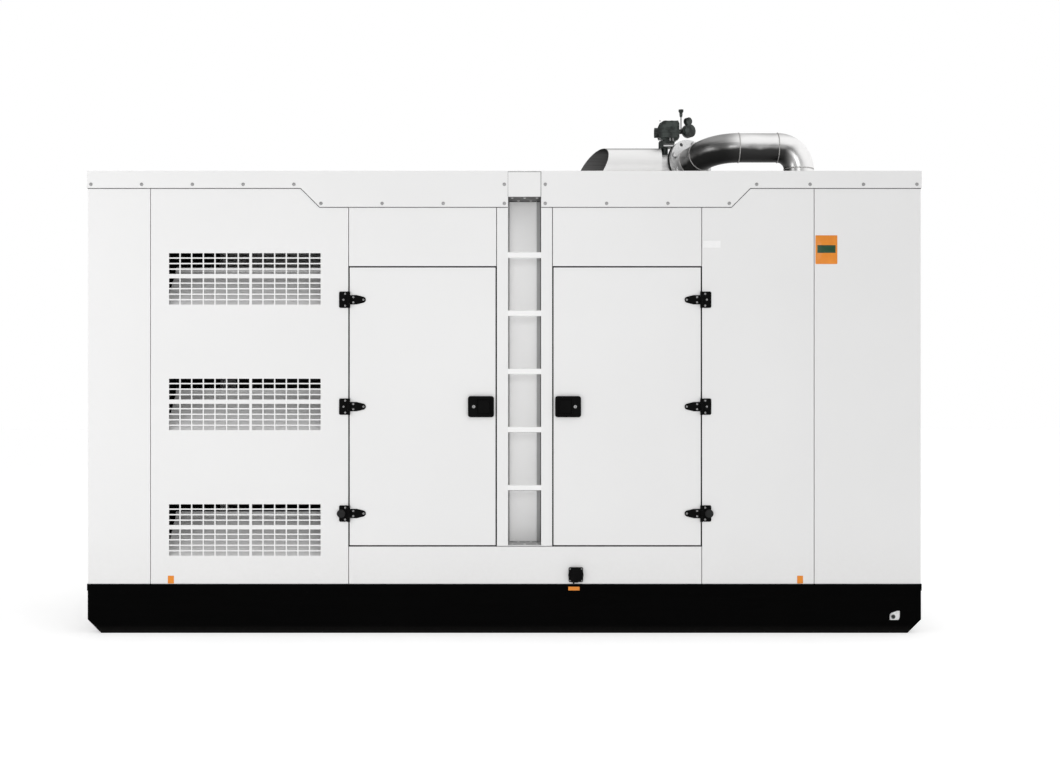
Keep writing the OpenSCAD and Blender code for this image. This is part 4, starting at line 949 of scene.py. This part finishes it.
# %% [markdown]
# ## Weld beads
# Pipes and elbows are welded end to end, and the welder's hand leaves a row of ripples. A plain ring
# would look like a rubber band, so its thickness swells with every ripple.

# %% Welds
def bead(middle, axis, radius, thick=0.0032, ripples=80):
    """(t, s) goes to middle + (radius + c cos s) e(t) + c sin s axis, where e(t) turns about the axis
    and c = thick (1 + 0.2 sin(ripples t))."""
    t = np.linspace(0, 2 * np.pi, 320, endpoint=False)[:, None]
    s = np.linspace(0, 2 * np.pi, 10, endpoint=False)[None, :]
    c = thick * (1 + 0.2 * np.sin(ripples * t))
    first = np.cross(axis, (0.3, 0.5, 0.8))
    first = first / np.linalg.norm(first)
    out = np.cos(t)[..., None] * first + np.sin(t)[..., None] * np.cross(axis, first)
    return middle + (radius + c * np.cos(s))[..., None] * out + (c * np.sin(s))[..., None] * axis


joint_list = [(riser_top, (0, 0, 1)), (run_start, (1, 0, 0)), (run_end, (1, 0, 0)), (turn_end, flow),
              (flange_face, flow), (valve_start, (1, 0, 0))]
beads = [bead(np.asarray(place), np.asarray(axis, float), PIPE) for place, axis in joint_list]
skin("weld_beads", beads, "canopy", finishes["bead_steel"], wrap=(True, True), sharp=80)

# %% [markdown]
# ## Flange bolts
# The flanges have eight holes and seven bolts: the one at the upper left is empty. A head sits on a
# washer in front and a nut behind. They share one circle, so its angles give every place.

# %% Flange bolts
BOLT_CIRCLE, BOLT_TURN, HOLES, EMPTY = 0.120, -12, 8, 7
BOLT, BOLT_HEIGHT, BIG_WASHER, BIG_THICK = 0.0165, 0.0125, 0.0185, 0.003
hole = np.radians((np.arange(HOLES) + 0.5) * 360 / HOLES + BOLT_TURN)
aside = np.cross(plane_up, flow)
round_places = BOLT_CIRCLE * (np.cos(hole)[:, None] * plane_up - np.sin(hole)[:, None] * aside)
bolted = round_places[np.arange(HOLES) != EMPTY]
bolt_head = turned([(share * BOLT, BOLT_HEIGHT * height) for share, height in hexagon], 6)
big_washer = turned([(0, BIG_THICK), (BIG_WASHER, BIG_THICK), (BIG_WASHER, 0), (0, 0)], 28)
flange_back = flange_face + STACK * flow
skin("flange_washers", np.concatenate([stood(big_washer, flange_face + bolted, -flow),
                                       stood(big_washer, flange_back + bolted, flow)]),
     "canopy", finishes["screw_steel"])
skin("flange_bolts", np.concatenate([stood(bolt_head, flange_face + bolted - BIG_THICK * flow, -flow),
                                     stood(bolt_head, flange_back + bolted + BIG_THICK * flow, flow)]),
     "canopy", finishes["zinc"])

# %% [markdown]
# ## Small parts of the valve drive
# Two pale studs stand in front of the yoke, and small screws hold the lid of the gear case. They only
# show as pale marks on the dark casting. Threads would be lost at that size, so they are lathe forms.

# %% Valve drive
STEM_X, LEVER_TOP = -0.025, 0.176
stem = valve_start + (STEM_X, 0, 0)
case_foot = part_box("valve_actuator")[1].z - LEVER_TOP

STUD, STUD_HEIGHT, STUD_X, STUD_Y, STUD_Z = 0.0048, 0.042, (0.031, 0.048), -0.0355, -0.019
stud = turned([(0, STUD_HEIGHT), (STUD, STUD_HEIGHT), (STUD, 0.0), (0, 0.0)], 14)
stud_feet = np.array([(stem[0] + x, stem[1] + STUD_Y, case_foot + STUD_Z) for x in STUD_X])
skin("yoke_studs", stood(stud, stud_feet, (0, 0, 1), up=(0, 1, 0)), "canopy",
     finishes["screw_steel"])

LID_SCREW, LID_SCREW_HEIGHT = 0.0055, 0.005
LID_X, LID_Y, LID_Z = row(-0.029, 0.076, 4), -0.030, 0.101
lid_spots = np.array([(stem[0] + x, stem[1] + LID_Y, case_foot + LID_Z) for x in LID_X])
lid_head = turned([(share * LID_SCREW, LID_SCREW_HEIGHT * height) for share, height in hexagon], 6)
skin("lid_screws", stood(lid_head, lid_spots, (0, 0, 1), up=(0, 1, 0)), "canopy", finishes["zinc"])

# %% [markdown]
# ## Band of the drum
# The plated band is a short ring round the large drum, which is turned aside from the valve. A scaled
# torus would be round in section, so a small rectangle goes round the axis instead.

# %% Drum band
DRUM_TURN, DRUM_X, DRUM_Z = np.radians(32), 0.13275, 0.0434
BAND_INNER, BAND_OUTER, BAND_START, BAND_END = 0.0388, 0.0402, 0.004, 0.014
drum_axis = np.array([np.sin(DRUM_TURN), -np.cos(DRUM_TURN), 0])
drum_foot = (stem[0] + DRUM_X, stem[1], case_foot + DRUM_Z)
band = turned([(BAND_INNER, BAND_START), (BAND_OUTER, BAND_START), (BAND_OUTER, BAND_END),
               (BAND_INNER, BAND_END), (BAND_INNER, BAND_START)], 48)
skin("drum_band", stood(band, [drum_foot], drum_axis), "canopy", finishes["screw_steel"])

# %% [markdown]
# ## Floor of the studio
# The object stands on a plain floor that runs out to white, as in a catalogue. A white world alone
# would leave it floating, so a wide pale sheet takes its shadow, and glows a little to stay white.

# %% Floor
def floor_paint(place):
    fleck = noise(place, 3.0)
    return {"Base Color": mix(fleck, grey(0.62), grey(0.66)), "Roughness": 0.75 + fleck * 0.1}


FLOOR_REACH, FLOOR_DROP, FLOOR_GLOW = 40.0, -0.0005, 0.52
u, v = np.meshgrid(row(-FLOOR_REACH, FLOOR_REACH, 9), row(-FLOOR_REACH, FLOOR_REACH, 9), indexing="ij")
floor_grid = np.stack([u, v, np.full_like(u, FLOOR_DROP)], -1)
floor_finish = new_finish("floor_paint", floor_paint, {
    "Emission Color": (1, 1, 1, 1), "Emission Strength": FLOOR_GLOW, "Specular IOR Level": 0.1})
floor = skin("floor", floor_grid, None, floor_finish, wrap=(False, False))

# %% [markdown]
# ## Light
# A dome shines from above and from the right but is nearly black along the horizon, so that the steel
# has something dark to reflect. One large lamp stands in front, a little above the camera, and another
# at the front left makes that end brighter. A sun would be simpler, but its shadows would be too hard.

# %% Light
DOME_DARK, DOME_BRIGHT, DOME_LEAN, HORIZON = 0.20, 0.62, 0.6, 0.05
scene = bpy.context.scene
scene.view_settings.view_transform = "Standard"
world = bpy.data.worlds.new("studio")
scene.world = world
world.use_nodes = True
sky = world.node_tree.nodes["Background"]
aim = Wire(world.node_tree.nodes.new("ShaderNodeTexCoord").outputs["Generated"])
aim_x, _, aim_z = axes(aim)
dome = ramp(aim_z + aim_x * DOME_LEAN, DOME_DARK, DOME_BRIGHT)
seen = aim.node("LightPath", out=0)
glow = mix(seen, mix(dome, grey(HORIZON), grey(1.0)), grey(1.0))
world.node_tree.links.new(glow.socket, sky.inputs["Color"])


def lamp(name, place, target, energy, size):
    """A square lamp at a place, its -Z axis turned towards the target."""
    light = bpy.data.lights.new(name, "AREA")
    light.energy = energy
    light.size = size
    holder = bpy.data.objects.new(name, light)
    holder.location = place
    aim_at = Vector(target) - Vector(place)
    holder.rotation_euler = aim_at.to_track_quat("-Z", "Y").to_euler()
    scene.collection.objects.link(holder)


lamp("front_soft", place=(0.2, -8.2, 2.6), target=(0.2, 0, 1.2), energy=72.0, size=1.8)
lamp("front_left", place=(-6.0, -5.2, 2.8), target=(-2.0, 0, 1.2), energy=105.0, size=2.6)

# %% [markdown]
# ## Camera
# The picture is taken straight from the front, level, from about seven and a half metres. The lens
# follows from the distance and from how wide the frame is at the canopy's face.

# %% Camera
FRAME_WIDTH, DISTANCE, SENSOR = 5.724, 7.5, 36.0
CAMERA_X, CAMERA_Z = 0.1385, 1.301
view = bpy.data.cameras.new("front_view")
view.sensor_width = SENSOR
view.lens = view.sensor_width * DISTANCE / FRAME_WIDTH
camera = bpy.data.objects.new("front_view", view)
camera.location = (CAMERA_X, face_y - DISTANCE, CAMERA_Z)
camera.rotation_euler = (np.pi / 2, 0, 0)
scene.collection.objects.link(camera)
scene.camera = camera
print("lens", round(view.lens, 1), "mm")
